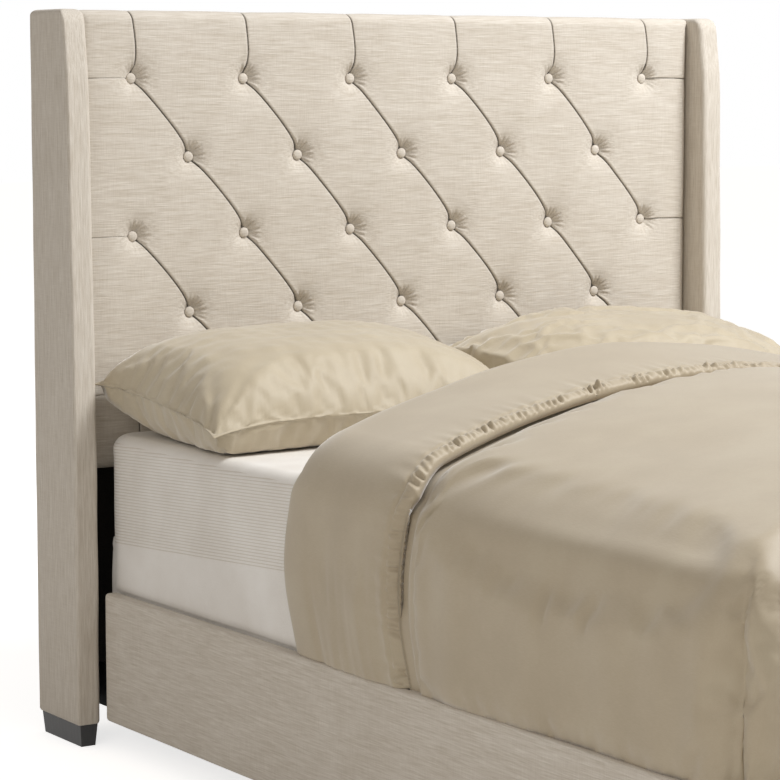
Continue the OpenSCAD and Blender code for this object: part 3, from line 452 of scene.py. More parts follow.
def pleats():
    """Folded pleats and faint creases as (points, depth share) on the flat cloth: x and arc length."""
    leaving, arriving = 0.88, 0.93            # how steeply a pleat leaves a tuft and meets the next
    folds, creases = [], []
    for k, (x, z, row) in enumerate(tufts):
        wobble = 0.004 * math.sin(k * 2.4)    # no two pleats lie quite alike
        if row < LAST_ROW and x + COLUMN_PITCH / 2 < PANEL_X:
            a, d = (x + 0.007, z - 0.006), (x + COLUMN_PITCH / 2 - 0.001, z - ROW_PITCH + 0.010)
            span = math.dist(a, d) / 3
            b = (a[0] + span * math.cos(leaving), a[1] - span * math.sin(leaving) + wobble)
            c = (d[0] - span * math.cos(arriving) + wobble, d[1] + span * math.sin(arriving))
            folds.append((bezier(a, b, c, d, 210), 1.0))
        if row < LAST_ROW and x - COLUMN_PITCH / 2 > -PANEL_X:
            creases.append((bezier((x - 0.008, z - 0.006), (x - 0.05, z - 0.05), (x - 0.09, z - 0.11),
                                   (x - COLUMN_PITCH / 2, z - ROW_PITCH + 0.01), 160), 1.0))
        if row == 0:
            folds.append((bezier((x, z + 0.009), (x + 0.012, z + 0.045), (x - 0.002, z + 0.10),
                                 (x - 0.012 + wobble, TOP_S + 0.03), 180), 0.8))
        if row == LAST_ROW:
            folds.append((bezier((x, z - 0.010), (x + 0.006, z - 0.06), (x + 0.004, z - 0.11),
                                 (x, LOW_Z + 0.004), 150), 0.8))
        if row % 2 == 0 and abs(x) > PANEL_X - 0.2:
            side = math.copysign(1, x)
            folds.append((bezier((x + side * 0.009, z), (x + side * 0.05, z + 0.002), (x + side * 0.09, z),
                                 (side * PANEL_X, z - 0.001), 120), 0.22 if side < 0 else 0.4))
    return folds, creases


def tree_at(places):
    """Search tree of places on the flat cloth."""
    tree = kdtree.KDTree(len(places))
    for k, place in enumerate(places):
        tree.insert((place[0], place[1], 0), k)
    tree.balance()
    return tree


def tree_of(curves):
    """Search tree of the curves' points, and rows of place, heading, way along and depth share."""
    rows = []
    for points, share in curves:
        heading = np.gradient(points, axis=0)
        heading /= np.linalg.norm(heading, axis=1, keepdims=True)
        way = np.linspace(0, 1, len(points))
        rows.append(np.column_stack([points, heading, way, np.full(len(points), share)]))
    rows = np.vstack(rows)
    return tree_at(rows), rows


folds, creases = pleats()
fold_tree, fold_rows = tree_of(folds)
crease_tree, crease_rows = tree_of(creases)
tuft_tree = tree_at(tufts)


def near(tree, flat):
    """Distance to the tree's nearest point, and which point it is."""
    found = [tree.find((x, s, 0)) for x, s in flat]
    return np.array([f[2] for f in found]), np.array([f[1] for f in found])


def padding_depth(flat):
    """How far the cloth is pulled back from the crown of the padding, in metres: a pleat is a narrow
    groove in a wide hollow, with a lip on one side, and a tuft is a dimple with rays of gathers."""
    gap, which = near(fold_tree, flat)
    row = fold_rows[which]
    offset = flat - row[:, :2]
    side = np.sign(offset[:, 0] * row[:, 3] - offset[:, 1] * row[:, 2])
    share = row[:, 5] * (0.78 + 0.22 * np.cos(2 * PI * row[:, 4]))
    lip = np.where(side > 0, 1.0, 1.25)
    fold = share * (0.0130 * np.exp(-gap / (0.0006 * lip)) + 0.0036 * np.exp(-gap / 0.016))
    fold -= share * 0.0014 * hump((gap - 0.0055) / 0.0028) * (side < 0)
    faint, which = near(crease_tree, flat)
    fade = 0.35 + 0.65 * np.abs(np.cos(PI * crease_rows[which][:, 4])) ** 2
    crease = fade * 0.0022 * hump(faint / 0.020)
    r, which = near(tuft_tree, flat)
    centre = np.array([t[:2] for t in tufts])[which]
    dx, dz = flat[:, 0] - centre[:, 0], flat[:, 1] - centre[:, 1]
    angle = np.arctan2(dz, dx)
    dimple = np.minimum(0.0245, 0.031 * np.exp(-(r / 0.0195) ** 1.05))
    right = np.cos(angle - math.radians(20)) * 0.5 + 0.5
    dimple += 0.0030 * right * hump((r - 0.016) / 0.009)
    window = 0.3 + 0.7 * ease_in((np.cos(angle - math.radians(35)) + 0.1) / 0.6)
    rays = np.cos(angle * 19 + which * 1.7) + 0.6 * np.cos(angle * 11 + which * 2.9)
    dimple += 0.0019 * window * rays * hump((r - 0.021) / 0.012)
    return fold + crease + dimple


def tufted_panel():
    """Linen cut flat, pleated at the tufts, and wrapped over the padding from under its lower edge
    to behind its top. Flat places are x and the arc length s, which equals height on the face."""
    low_s = LOW_Z + FACE_R - FACE_R * PI / 2
    roll = 0.006
    path = [(low_s - 0.02, CROWN_Y + FACE_R + 0.02, LOW_Z, 0, -1), (low_s, CROWN_Y + FACE_R, LOW_Z, 0, -1)]
    for a in np.linspace(0.1, 1, 10) * PI / 2:
        path.append((low_s + FACE_R * a, CROWN_Y + FACE_R - FACE_R * math.sin(a),
                     LOW_Z + FACE_R - FACE_R * math.cos(a), -math.sin(a), -math.cos(a)))
    for a in np.linspace(0, 1, 11) * PI / 2:
        path.append((TOP_Z - FACE_R + FACE_R * a, CROWN_Y + FACE_R - FACE_R * math.cos(a),
                     TOP_Z - FACE_R + FACE_R * math.sin(a), -math.cos(a), math.sin(a)))
    s = TOP_S + back_hi.y - roll - CROWN_Y - FACE_R
    for a in np.linspace(0, 1, 6) * PI / 2:
        path.append((s + roll * a, back_hi.y - roll + roll * math.sin(a), TOP_Z - roll + roll * math.cos(a),
                     math.sin(a), math.cos(a)))
    s += roll * PI / 2
    pad_back, cut_z = CROWN_Y + 0.0693, TOP_Z - roll - 0.0017
    path += [(s + 0.002, back_hi.y, cut_z, 1, 0), (s + 0.05, pad_back, cut_z, 0, -1),
             (s + 0.10, pad_back, LOW_Z, 1, 0), (s + 0.15, CROWN_Y + FACE_R + 0.02, LOW_Z, 0, -1)]
    path = np.array(path)                     # arc length, y, z and the cloth's outward direction there

    xs = rim_and_middle(-PANEL_X, PANEL_X, np.linspace(0, 0.030, 8), 0.0372, 212)
    face = np.linspace(LOW_Z + FACE_R, TOP_Z - FACE_R, 126)
    ss = np.unique(np.round(np.concatenate([path[:, 0], face, np.linspace(TOP_S, TOP_S + 0.08, 12)]), 6))
    grid = np.zeros((len(ss), len(xs), 3))
    grid[..., 0], grid[..., 1] = xs[None, :], ss[:, None]
    obj = woven("tufted_panel", grid)

    mesh = bmesh.new()
    mesh.from_mesh(obj.data)
    mesh.verts.ensure_lookup_table()
    flat = np.array([v.co.xy for v in mesh.verts])
    gap, _ = near(fold_tree, flat)
    tuft_gap, _ = near(tuft_tree, flat)
    fine = (gap < 0.011) | (tuft_gap < 0.040)
    edges = [e for e in mesh.edges if fine[e.verts[0].index] and fine[e.verts[1].index]]
    bmesh.ops.subdivide_edges(mesh, edges=edges, cuts=2, use_grid_fill=True)
    gap, _ = near(fold_tree, np.array([v.co.xy for v in mesh.verts]))
    edges = [e for e in mesh.edges if gap[e.verts[0].index] < 0.0042 and gap[e.verts[1].index] < 0.0042]
    bmesh.ops.subdivide_edges(mesh, edges=edges, cuts=1, use_grid_fill=True)
    mesh.to_mesh(obj.data)
    mesh.free()

    flat = co(obj)[:, :2]
    gap, which = near(fold_tree, flat)
    r_tuft, _ = near(tuft_tree, flat)
    on_face = (flat[:, 1] > LOW_Z + 0.002) & (flat[:, 1] < TOP_S + 0.03)
    onto = (gap < 0.00065) & on_face & (np.abs(flat[:, 0]) < PANEL_X - 0.001)
    flat[onto] = fold_rows[which[onto], :2]
    x, along = flat.T
    y, z, ny, nz = (np.interp(along, path[:, 0], path[:, k]) for k in (1, 2, 3, 4))
    outer = along < s + 0.002
    over = 1 - ease_in((along - TOP_S) / 0.06)
    under = ease_in((along - low_s) / 0.01)
    depth = padding_depth(flat) * over * under * outer
    end = np.clip((np.abs(x) - PANEL_X + 0.026) / 0.026, 0, 1)
    shoulder = np.clip((np.abs(x) - PANEL_X + 0.11) / 0.11, 0, 1)
    fall = 0.022 * (1 - np.sqrt(1 - end ** 2)) + 0.004 * shoulder ** 2
    depth += fall * outer * under * (0.2 + 0.8 * (1 - ease_in((along - TOP_Z + FACE_R) / 0.03)))
    depth += 0.0006 * rumple(flat, 0.16, 3) * over * under * outer
    set_co(obj, np.column_stack([x, y - ny * depth, z - nz * depth]))
    # painted shade: marks the bottom of each pleat on the face, away from the buttons, so the linen is
    # darkened there
    painted_pleat_shade = fold_rows[which][:, 5] * hump(gap / 0.0013) * on_face * (r_tuft > 0.009)
    obj.data.attributes.new("painted_pleat_shade", "FLOAT", "POINT").data.foreach_set("value", painted_pleat_shade.astype(np.float32))
    in_edit(obj, weld, close_ends, outward)
    return smooth_faces(obj)


def covered_buttons():
    """Button shells covered in the panel's linen, gathered behind the rim."""
    bare_selection()
    bpy.ops.mesh.primitive_uv_sphere_add(segments=28, ring_count=14, radius=1)
    button = bpy.context.object
    x, y, dome = co(button).T
    gather = 1 + 0.03 * np.cos(np.arctan2(y, x) * 14) * (dome < 0.25) * np.hypot(x, y)
    across, up = x * BUTTON_R * gather, y * BUTTON_R * gather
    middle = (button_lo.y + button_hi.y) / 2 + 0.0005
    depth = middle - dome * (button_hi.y - button_lo.y) / 2
    shapes = []
    for k, (tuft_x, tuft_z, row) in enumerate(tufts):
        c, s = math.cos(k * 1.3), math.sin(k * 1.3)
        shapes.append(np.column_stack([across * c - up * s + tuft_x, depth, across * s + up * c + tuft_z]))
    obj = repeated("covered_buttons", button, shapes)
    in_edit(obj, outward)
    return smooth_faces(obj)


# ---------- wings, rails and footboard ----------

WING_REACH = ([0.047, 0.3, 0.6, 0.88, 1.08, 1.28, 1.38, 1.45, 1.505],
              [0.089, 0.091, 0.090, 0.085, 0.080, 0.0765, 0.072, 0.063, 0.056])    # height, reach forward


def upholstered_wing(name, node, side):
    """Foam and linen over a wing: seam down its outer front edge, soft roll on the inner one."""
    lo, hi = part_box(node)
    x_in, x_out = (hi.x, lo.x) if side < 0 else (lo.x, hi.x)
    top_r, front_r, foot_r = 0.012, 0.030, 0.004
    heights = np.concatenate([lo.z + foot_r * (1 - np.cos(np.linspace(0, PI / 2, 4))),
                              np.linspace(lo.z + 0.012, hi.z - front_r - 0.004, 128),
                              hi.z - front_r + front_r * np.sin(np.linspace(0, PI / 2, 15))])
    rings = []
    for z in heights:
        t = np.clip((z - hi.z + top_r) / top_r, 0, 1)
        inset = top_r * (1 - math.sqrt(1 - t * t)) + 0.5 * max(0, lo.z + foot_r - z)
        t = np.clip((z - hi.z + front_r) / front_r, 0, 1)
        nose = front_r * (1 - math.sqrt(1 - t * t)) * 0.8
        front = SIDE_Y - np.interp(z, *WING_REACH) + nose
        ring = rounded((inset, front), (abs(x_out - x_in) - inset, hi.y - inset),
                       (0.0045, 0.011, 0.004, 0.006), 6, crisp, (5, 16))
        groove = 0.0022 * (0.75 + 0.35 * math.sin(z * 61) * math.sin(z * 23 + 1))
        ring[[0, -1], 0] += groove * (1 - ease_in((z - hi.z + 0.02) / 0.02))
        rings.append(np.column_stack([x_out - side * ring[:, 0], ring[:, 1], np.full(len(ring), z)]))
    obj = closed(name, np.array(rings))
    points = co(obj)
    away = np.sign(points[:, 0] - (x_in + x_out) / 2)
    points[:, 0] += away * 0.0006 * rumple(points, 0.14, 11 + side)
    points[:, 1] += 0.0007 * rumple(points, 0.17, 21 + side) * (points[:, 1] < SIDE_Y)
    set_co(obj, points)
    return smooth_faces(obj, 50)


def upholstered_bar(name, node, along, counts, pieces, seed):
    """Foam and linen over a straight board that runs along one axis, with soft ends."""
    lo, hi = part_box(node)
    lead, edge_r = 0.010, 0.0068
    a, b = [axis for axis in range(3) if axis != along]
    ends = lead * (1 - np.cos(np.linspace(0, PI / 2, 6)))
    rings = []
    for y in rim_and_middle(lo[along], hi[along], ends, lead + 0.006, pieces):
        t = np.clip(1 - min(y - lo[along], hi[along] - y) / lead, 0, 1)
        inset = 0.007 * (1 - math.sqrt(1 - t * t))
        ring = rounded((lo[a] + inset, lo[b] + inset), (hi[a] - inset, hi[b] - inset), [edge_r] * 4,
                       6, crisp, counts)
        block = np.zeros((len(ring), 3))
        block[:, a], block[:, b], block[:, along] = ring[:, 0], ring[:, 1], y
        rings.append(block)
    obj = closed(name, np.array(rings))
    points = co(obj)
    thin = a if hi[a] - lo[a] < hi[b] - lo[b] else b
    away = np.sign(points[:, thin] - (lo[thin] + hi[thin]) / 2)
    points[:, thin] += away * 0.0005 * (rumple(points, 0.22, seed) - 0.6)
    set_co(obj, points)
    return smooth_faces(obj, 50)


def lining_cloth():
    """Black cambric stretched flat over the back of the frame, its raw edges folded under."""
    gap, fold = 0.0006, 0.014
    rim = np.array([0, 0.002, fold, fold + 0.002])
    x, z = np.meshgrid(rim_and_middle(back_lo.x, back_hi.x, rim, 0.03, 60),
                       rim_and_middle(back_lo.z, back_hi.z, rim, 0.03, 50))
    inside = np.minimum.reduce([x - back_lo.x, back_hi.x - x, z - back_lo.z, back_hi.z - z])
    y = back_hi.y - gap * np.where(inside < fold + 0.001, 0.25, 1.0)
    y -= 0.0009 * (1 + rumple(np.stack([x, z], -1), 0.5, 5)) * ease_in((inside - fold) / 0.12)
    obj = woven("back_lining_cloth", np.stack([x, y, z], -1))
    finish_with(obj, "SOLIDIFY", thickness=0.0008, offset=0)
    in_edit(obj, outward)
    return smooth_faces(obj, 60)


def lining_staples():
    """Wire staples, 11 mm wide, driven flat through the lining's folded edge."""
    bare_selection()
    bpy.ops.mesh.primitive_cube_add(size=1)
    wire = bpy.context.object
    lying = co(wire) * (0.011, 0.0009, 0.0011)
    y = back_hi.y - 0.0004
    shapes = [lying + (x, y, z) for z in (back_lo.z + 0.007, back_hi.z - 0.007)
              for x in np.linspace(back_lo.x + 0.03, back_hi.x - 0.03, 26)]
    shapes += [lying[:, [2, 1, 0]] + (x, y, z) for x in (back_lo.x + 0.007, back_hi.x - 0.007)
               for z in np.linspace(back_lo.z + 0.05, back_hi.z - 0.05, 23)]
    obj = repeated("lining_staples", wire, shapes)
    finish_with(obj, "BEVEL", width=0.0003, segments=2)
    in_edit(obj, outward)
    return obj


# ---------- foundation, mattress and fitted sheet ----------

def soft_slab(lo, hi, plan_r, rows, counts):
    """Rings of rounded plan: rows are (inset from the box, height), from the middle of the
    underside round to the middle of the top."""
    rings = []
    for inset, z in rows:
        ring = rounded((lo.x + inset, lo.y + inset), (hi.x - inset, hi.y - inset),
                       [max(plan_r - inset, 0.004)] * 4, 8, even, counts)
        rings.append(np.column_stack([ring, np.full(len(ring), z)]))
    return np.array(rings)


def slab_rows(lo, hi, edge_r, inner, side):
    """Rows for a slab with the same bend at both edges: inner insets on both faces, side rows up."""
    arc = np.linspace(0, PI / 2, 7)
    rows = [(inset, lo.z) for inset in inner[::-1]]
    rows += [(edge_r * (1 - math.sin(a)), lo.z + edge_r * (1 - math.cos(a))) for a in arc]
    rows += [(0, z) for z in np.linspace(lo.z + edge_r, hi.z - edge_r, side + 2)[1:-1]]
    rows += [(edge_r * (1 - math.cos(a)), hi.z - edge_r + edge_r * math.sin(a)) for a in arc]
    return rows + [(inset, hi.z) for inset in inner]


def sideways(rings, lo, hi, amount):
    """Moves a slab's rings out sideways, away from its middle."""
    middle = np.array([(lo.x + hi.x) / 2, (lo.y + hi.y) / 2, 0])
    return rings + amount[..., None] * np.sign(rings - middle) * (1, 1, 0)


def foundation_block():
    """Foundation in its knitted cover: a welt at both edges of its slightly full sides."""
    lo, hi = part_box("foundation")
    rings = soft_slab(lo, hi, 0.03, slab_rows(lo, hi, 0.008, [0.02, 0.1, 0.3, 0.55, 0.74], 20), (60, 80))
    z = rings[..., 2]
    welt = 0.0012 * (hump((z - lo.z - 0.018) / 0.0035) + hump((z - hi.z + 0.018) / 0.0035))
    band = 0.0025 * np.sin(PI * np.clip((z - lo.z - 0.02) / (hi.z - lo.z - 0.04), 0, 1))
    return smooth_faces(closed("foundation_block", sideways(rings, lo, hi, welt + band - 0.003)), 55)


def mattress_block():
    """Mattress under its sheet: taped edges and a quilted top."""
    lo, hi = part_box("mattress")
    lo, hi = lo + Vector((0.003, 0.003, 0.0005)), hi - Vector((0.003, 0.003, 0.003))
    rings = soft_slab(lo, hi, 0.067, slab_rows(lo, hi, 0.03, [0.05, 0.1, 0.3, 0.55, 0.74], 18), (50, 70))
    x, y, z = np.moveaxis(rings, -1, 0)
    tape = 0.0015 * (hump((z - lo.z - 0.026) / 0.004) + hump((z - hi.z + 0.026) / 0.004))
    stitches = 0.002 * np.abs(np.sin(x * 2 * PI / 0.12) * np.sin(y * 2 * PI / 0.12))
    top = z > hi.z - 0.002
    rings = sideways(rings, lo, hi, tape)
    rings[..., 2] -= (stitches + 0.0005) * top
    return smooth_faces(closed("mattress_block", rings), 55)


def stretched_sheet():
    """Fitted sheet, drawn tight over the mattress; its elastic hem turns in under the side."""
    lo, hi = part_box("fitted_sheet")
    edge_r = 0.034
    rows = [(0.006, lo.z + 0.0005), (0.002, lo.z)]
    rows += [(0.0, z) for z in np.linspace(lo.z + 0.003, hi.z - edge_r, 26)]
    rows += [(edge_r * (1 - math.cos(a)), hi.z - edge_r + edge_r * math.sin(a))
             for a in np.linspace(0.08, 1, 11) * PI / 2]
    rows += [(inset, hi.z) for inset in
             [0.045, 0.06, 0.08, 0.11, 0.15, 0.2, 0.26, 0.32, 0.38, 0.44, 0.5, 0.56, 0.62, 0.68, 0.74]]
    rings = soft_slab(lo, hi, 0.07, rows, (110, 150))
    x, y, z = np.moveaxis(rings, -1, 0)
    side = ease_in((hi.z - 0.02 - z) / 0.03)
    pucker = 0.0012 * np.sin((x + y) * 240) * ease_in((lo.z + 0.02 - z) / 0.02)
    sag = 0.0014 * rumple(rings, 0.21, 8) * side - 0.0012 * side
    rings = sideways(rings, lo, hi, sag + pucker)
    rings[..., 2] -= 0.0012 * (1 + rumple(rings, 0.33, 9)) * (1 - side) * 0.5
    obj = woven("fitted_sheet_cloth", rings)
    in_edit(obj, weld)
    mesh = bmesh.new()
    mesh.from_mesh(obj.data)
    inner = [e for e in mesh.edges if e.is_boundary and e.verts[0].co.z > hi.z - 0.01]
    bmesh.ops.holes_fill(mesh, edges=inner, sides=0)
    bmesh.ops.recalc_face_normals(mesh, faces=mesh.faces)
    mesh.to_mesh(obj.data)
    mesh.free()
    finish_with(obj, "SOLIDIFY", thickness=0.0011, offset=-1)
    return smooth_faces(obj, 60)


# ---------- pillows ----------

PILLOW = Vector((0.756, 0.508))                            # over its seams
PILLOW_TILT = math.radians(6.5)
FLOOR_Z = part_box("pillow_left")[0].z
WELT = np.array([0, 0.0026, 0.0045, 0.0065, 0.0095])       # from the rim over the welt and its stitches
WELT_W = 0.014


def seam_first(half):
    """Places from rim to rim: a welt, the stitch line beside it, then steps of about 7 mm."""
    return rim_and_middle(-half, half, WELT, WELT_W, int(round(2 * (half - WELT_W) / 0.0068)) + 1)


def pillow(name, side, seed, height):
    """Case of khaki sateen on a feather pillow: a stitched welt all round, with puckers on both
    sides of it and creases that fan out from the corners."""
    half_x, half_y = PILLOW.x / 2, PILLOW.y / 2
    u, v = np.meshgrid(seam_first(half_x) / half_x, seam_first(half_y) / half_y)
    swell = lambda t, power: np.maximum(0, 1 - np.abs(t) ** power) ** 0.5
    pull = lambda t: 1 - 0.045 * (1 - np.abs(t) ** 3)
    edge = np.minimum((1 - np.abs(u)) * half_x, (1 - np.abs(v)) * half_y)
    welt = np.interp(edge, [*WELT, WELT_W], [0, 0.0017, 0.0010, 0.0015, 0.003, 0.006])
    x, y = u * half_x * pull(v), v * half_y * pull(u)
    halves = []
    for up, full, power in ((1, height, 2.9), (-1, 0.100, 5.5)):
        body = full * swell(u, power) * swell(v, power) * ease_in((edge - 0.004) / 0.026 + 0.25)
        halves.append(woven(name, np.stack([x, y, np.maximum(welt, body) * up], -1)))
    only(halves[0])
    halves[1].select_set(True)
    bpy.ops.object.join()
    obj = halves[0]
    in_edit(obj, weld, outward)
    points = co(obj)
    thick = np.abs(points[:, 2]) > 0.006
    points[:, 2] += np.sign(points[:, 2]) * 0.0015 * rumple(points, 0.05, seed) * thick
    set_co(obj, points)
    puff(obj, 3.0, 0.030, np.nonzero(np.abs(points[:, 2]) < 0.0025)[0], 0.012)

    x, y, z = co(obj).T
    nx, ny = np.abs(x) / half_x, np.abs(y) / half_y
    from_x, from_y = (1 - nx) * half_x, (1 - ny) * half_y
    away = np.maximum(0, np.minimum(from_x, from_y) - 0.008)
    face = np.sign(z)
    seam = np.stack([np.where(nx > ny, y, x) + 0.3 * (nx > ny), face * 0.4, away * 0.25], -1)
    beat = 0.0022 * rumple(seam, 0.052, seed + 1) + 0.0024 * rumple(seam, 0.025, seed + 2)
    ray, far = np.arctan2(from_y, from_x), np.hypot(from_y, from_x)
    which = 1.7 * np.sign(x) + 3.1 * np.sign(y)
    fan = np.sin(ray * 15 + which) + 0.6 * np.sin(ray * 24 + 2 * which)
    fan *= ease_in(far / 0.06) * hump(far / 0.16) * ease_in(away / 0.02)
    soft = 0.0022 * rumple(np.stack([x, y], -1), 0.34, seed + 3) * ease_in(away / 0.05)
    z = z + face * (np.exp(-away / 0.042) * ease_in(away / 0.006) * beat + 0.0028 * fan + soft)
    z = z - 0.013 * nx ** 4 - 0.012 * (nx * ny) ** 4
    c, s = math.cos(PILLOW_TILT), math.sin(PILLOW_TILT)
    x = x + side * (PANEL_X - 0.009 - half_x)
    y, z = (y * c - z * s + CROWN_Y - 0.020 - half_y * c), (y * s + z * c + FLOOR_Z + 0.096)
    flat = FLOOR_Z + 0.0125          # below this the pillow's weight presses it flat
    z = np.where(z < flat, flat - 0.012 * (1 - np.exp((z - flat) / 0.012)), z)
    set_co(obj, np.column_stack([x, np.minimum(y, CROWN_Y - 0.002), z]))
    return smooth_faces(obj)


# ---------- duvet ----------

duvet_lo, duvet_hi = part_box("duvet")
mattress_lo, mattress_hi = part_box("mattress")
SHEET_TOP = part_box("fitted_sheet")[1].z
HALF, HEM_Z, FOOT_Y = duvet_hi.x, duvet_lo.z, duvet_lo.y
CREST_Z = duvet_hi.z
FOLD_Y = 0.175          # the fold's front edge beside the mattress
FOLD_BOW = 0.12         # how much nearer the head it is at the middle
FOLD_W = 0.372          # from the fold's front edge back to its hem, at the sides
FOLD_T = 0.010          # thickness that the fold adds
DUVET_L = FOLD_Y - FOOT_Y
SHOULDER_R = 0.088      # the bend from the top into the sides and the foot
CORNER_R = 0.060        # the same corner seen from above
PLAN_R, EDGE_R = 0.0718, 0.032                          # the sheeted mattress's bends, and
MATTRESS_X, MATTRESS_Y = mattress_hi.x + 0.0018, mattress_lo.y - 0.0018    # its side and its foot
OFF_SHEET = 0.0035      # least thickness of the duvet's body


def crossing(half, full, drop, ahead, bend_r, count):
    """Even steps over the bed's width, from one bottom hem over the crest to the other.
    full is the crest's height, drop how much lower the shoulders are, ahead the way left to the foot."""
    x = np.concatenate([np.linspace(0, half - bend_r, 200)[:-1],
                        half - bend_r * (1 - np.sin(np.linspace(0, PI / 2, 90)))])
    inside = np.minimum(HALF - FOLD_T - x, ahead)
    near_x, near_y = CORNER_R - (HALF - FOLD_T - x), CORNER_R - ahead
    inside = np.where((near_x > 0) & (near_y > 0), CORNER_R - np.hypot(near_x, near_y), inside)
    bend = np.clip((bend_r - inside) / bend_r, 0, 1)
    z = full - drop * (x / HALF) ** 1.7 - bend_r * (1 - np.sqrt(1 - bend * bend))
    x, z = np.append(x, half), np.append(z, HEM_Z)
    run = np.concatenate([[0], np.cumsum(np.hypot(np.diff(x), np.diff(z)))])
    places = np.linspace(0, run[-1], count // 2 + 1)
    x, z = np.interp(places, run, x), np.interp(places, run, z)
    return np.concatenate([-x[::-1], x[1:]]), np.concatenate([z[::-1], z[1:]])


def set_off(points, least, most=math.inf, soft=0.0):
    """Moves points straight out from the mattress's rounded block until they lie between least and
    most off its sheet. A soft limit bends into the rest of the skin."""
    x, y, z = np.moveaxis(points, -1, 0)
    side = x - np.clip(x, PLAN_R - MATTRESS_X, MATTRESS_X - PLAN_R)
    foot = y - np.maximum(y, MATTRESS_Y + PLAN_R)
    level = np.hypot(side, foot)
    out = np.maximum(0, level - PLAN_R + EDGE_R)
    up = np.maximum(0, z - SHEET_TOP + 0.0015 + EDGE_R)
    reach = np.maximum(np.hypot(out, up), 1e-6)
    over = (reach - EDGE_R - least) / 2
    want = np.minimum(reach - over + np.hypot(over, soft), EDGE_R + most)
    scale = np.where(reach > 1e-5, want / reach - 1, 0)
    wider = 1 + out * scale / np.maximum(level, 1e-6)
    return np.stack([x - side + side * wider, y - foot + foot * wider, z + up * scale], -1)


def against_mattress(points):
    """The places nearest to points on the sheet, 1.4 mm off it at most."""
    return set_off(points, 0.0, 0.0014)


def quilt(stations, count):
    """The duvet's skin under its fold, at distances behind the fold's front: points[station][across]."""
    rows = []
    for d in stations:
        back = max(0, (d - FOLD_W) / (DUVET_L - FOLD_W))
        full = CREST_Z - FOLD_T - 0.030 * ease_in(d / (FOLD_W + 0.07)) - 0.040 * min(1, back)
        drop = 0.150 - 0.025 * ease_in(d / FOLD_W)
        ahead = max(0, DUVET_L - d)
        short = max(0, CORNER_R - ahead)
        pinch = CORNER_R - math.sqrt(CORNER_R ** 2 - short ** 2)
        bend_r = SHOULDER_R + 0.014 * ease_in((d - FOLD_W) / 0.35)
        x, z = crossing(HALF - FOLD_T - pinch, full, drop, ahead, bend_r, count)
        u = np.abs(x) / HALF
        bow = (FOLD_BOW + 0.04 * min(1, d / FOLD_W)) * (1 - u * u)
        bow *= 1 - ease_in((d - FOLD_W) / 0.75)
        lean = 0.042 * np.sin(PI * np.clip((z - 0.315) / 0.34, 0, 1)) * (1 - ease_in((d - FOLD_W) / 0.5))
        y = FOOT_Y + ahead + bow
        down = max(0, d - DUVET_L)
        z = HEM_Z + (z - HEM_Z) * (1 - 0.996 * min(1, down / 0.25))
        rows.append(np.column_stack([x, y + lean * (u > 0.9), z]))
    rows = np.array(rows)
    return set_off(rows, 0.003 + 0.006 * ease_in((rows[..., 2] - 0.54) / 0.11), soft=0.009)


def duvet_body():
    """Sateen duvet: it swells behind the fold's hem and hangs over both sides and the foot."""
    round_corner = DUVET_L - CORNER_R * (1 - np.sin(np.linspace(0, PI / 2, 22)[1:]))
    stations = np.concatenate([np.linspace(0.055, FOLD_W - 0.03, 16),
                               np.linspace(FOLD_W - 0.02, FOLD_W + 0.07, 16),
                               np.linspace(FOLD_W + 0.085, DUVET_L - CORNER_R, 56), round_corner,
                               np.linspace(DUVET_L + 0.015, DUVET_L + 0.249, 16)])
    outer = quilt(stations, 210)
    d = stations[:, None] + np.zeros(outer.shape[1])
    x, y, z = np.moveaxis(outer, -1, 0)
    hidden = 1 - ease_in((d - FOLD_W - 0.002) / 0.045)
    swell = 0.009 * ease_in((d - FOLD_W) / 0.05) * (1 - ease_in((d - FOLD_W - 0.12) / 0.35))
    big = 0.0055 * rumple(outer, 0.75, 31) + 0.0012 * rumple(outer, 0.24, 32)
    hang = 0.0028 * rumple(np.stack([y, z * 0.35], -1), 0.13, 33) * ease_in((0.64 - z) / 0.1) * (d < DUVET_L)
    turn = np.degrees(np.arctan2(FOOT_Y + CORNER_R - y, np.abs(x) - HALF + FOLD_T + CORNER_R)) - 27
    tuck = hump(turn / np.where(turn < 0, 21, 9)) * ease_in((0.655 - z) / 0.035)
    tuck *= (d < DUVET_L - 0.0005) * (0.021 + 0.010 * ease_in((0.6 - z) / 0.1))
    push = swell - tuck - 0.024 * hidden + (big + hang) * (1 - hidden)
    outer = set_off(bulge(outer, push), OFF_SHEET + 0.0085 * ease_in((0.47 - z) / 0.04))
    outer[..., 2] = np.maximum(outer[..., 2], HEM_Z)
    inner = against_mattress(outer)
    obj = closed("duvet_body", np.concatenate([outer, inner[:, ::-1], outer[:, :1]], axis=1))
    points = co(obj)
    thin = np.linalg.norm(points - against_mattress(points), axis=1) < 0.004
    under_fold = FOLD_Y - FOLD_W - 0.02 + (FOLD_BOW + 0.04) * (1 - (points[:, 0] / HALF) ** 2)
    held = thin | (points[:, 2] < HEM_Z + 0.008) | (points[:, 1] > under_fold)
    puff(obj, 2.2, 0.02, np.nonzero(held)[0], 0.011)
    points = co(obj)
    outside = np.linalg.norm(points - against_mattress(points), axis=1) > 0.0015
    points[outside] = set_off(points[outside], OFF_SHEET)
    points[:, 2] = np.maximum(points[:, 2], HEM_Z)
    set_co(obj, points)
    return smooth_faces(obj, 70)


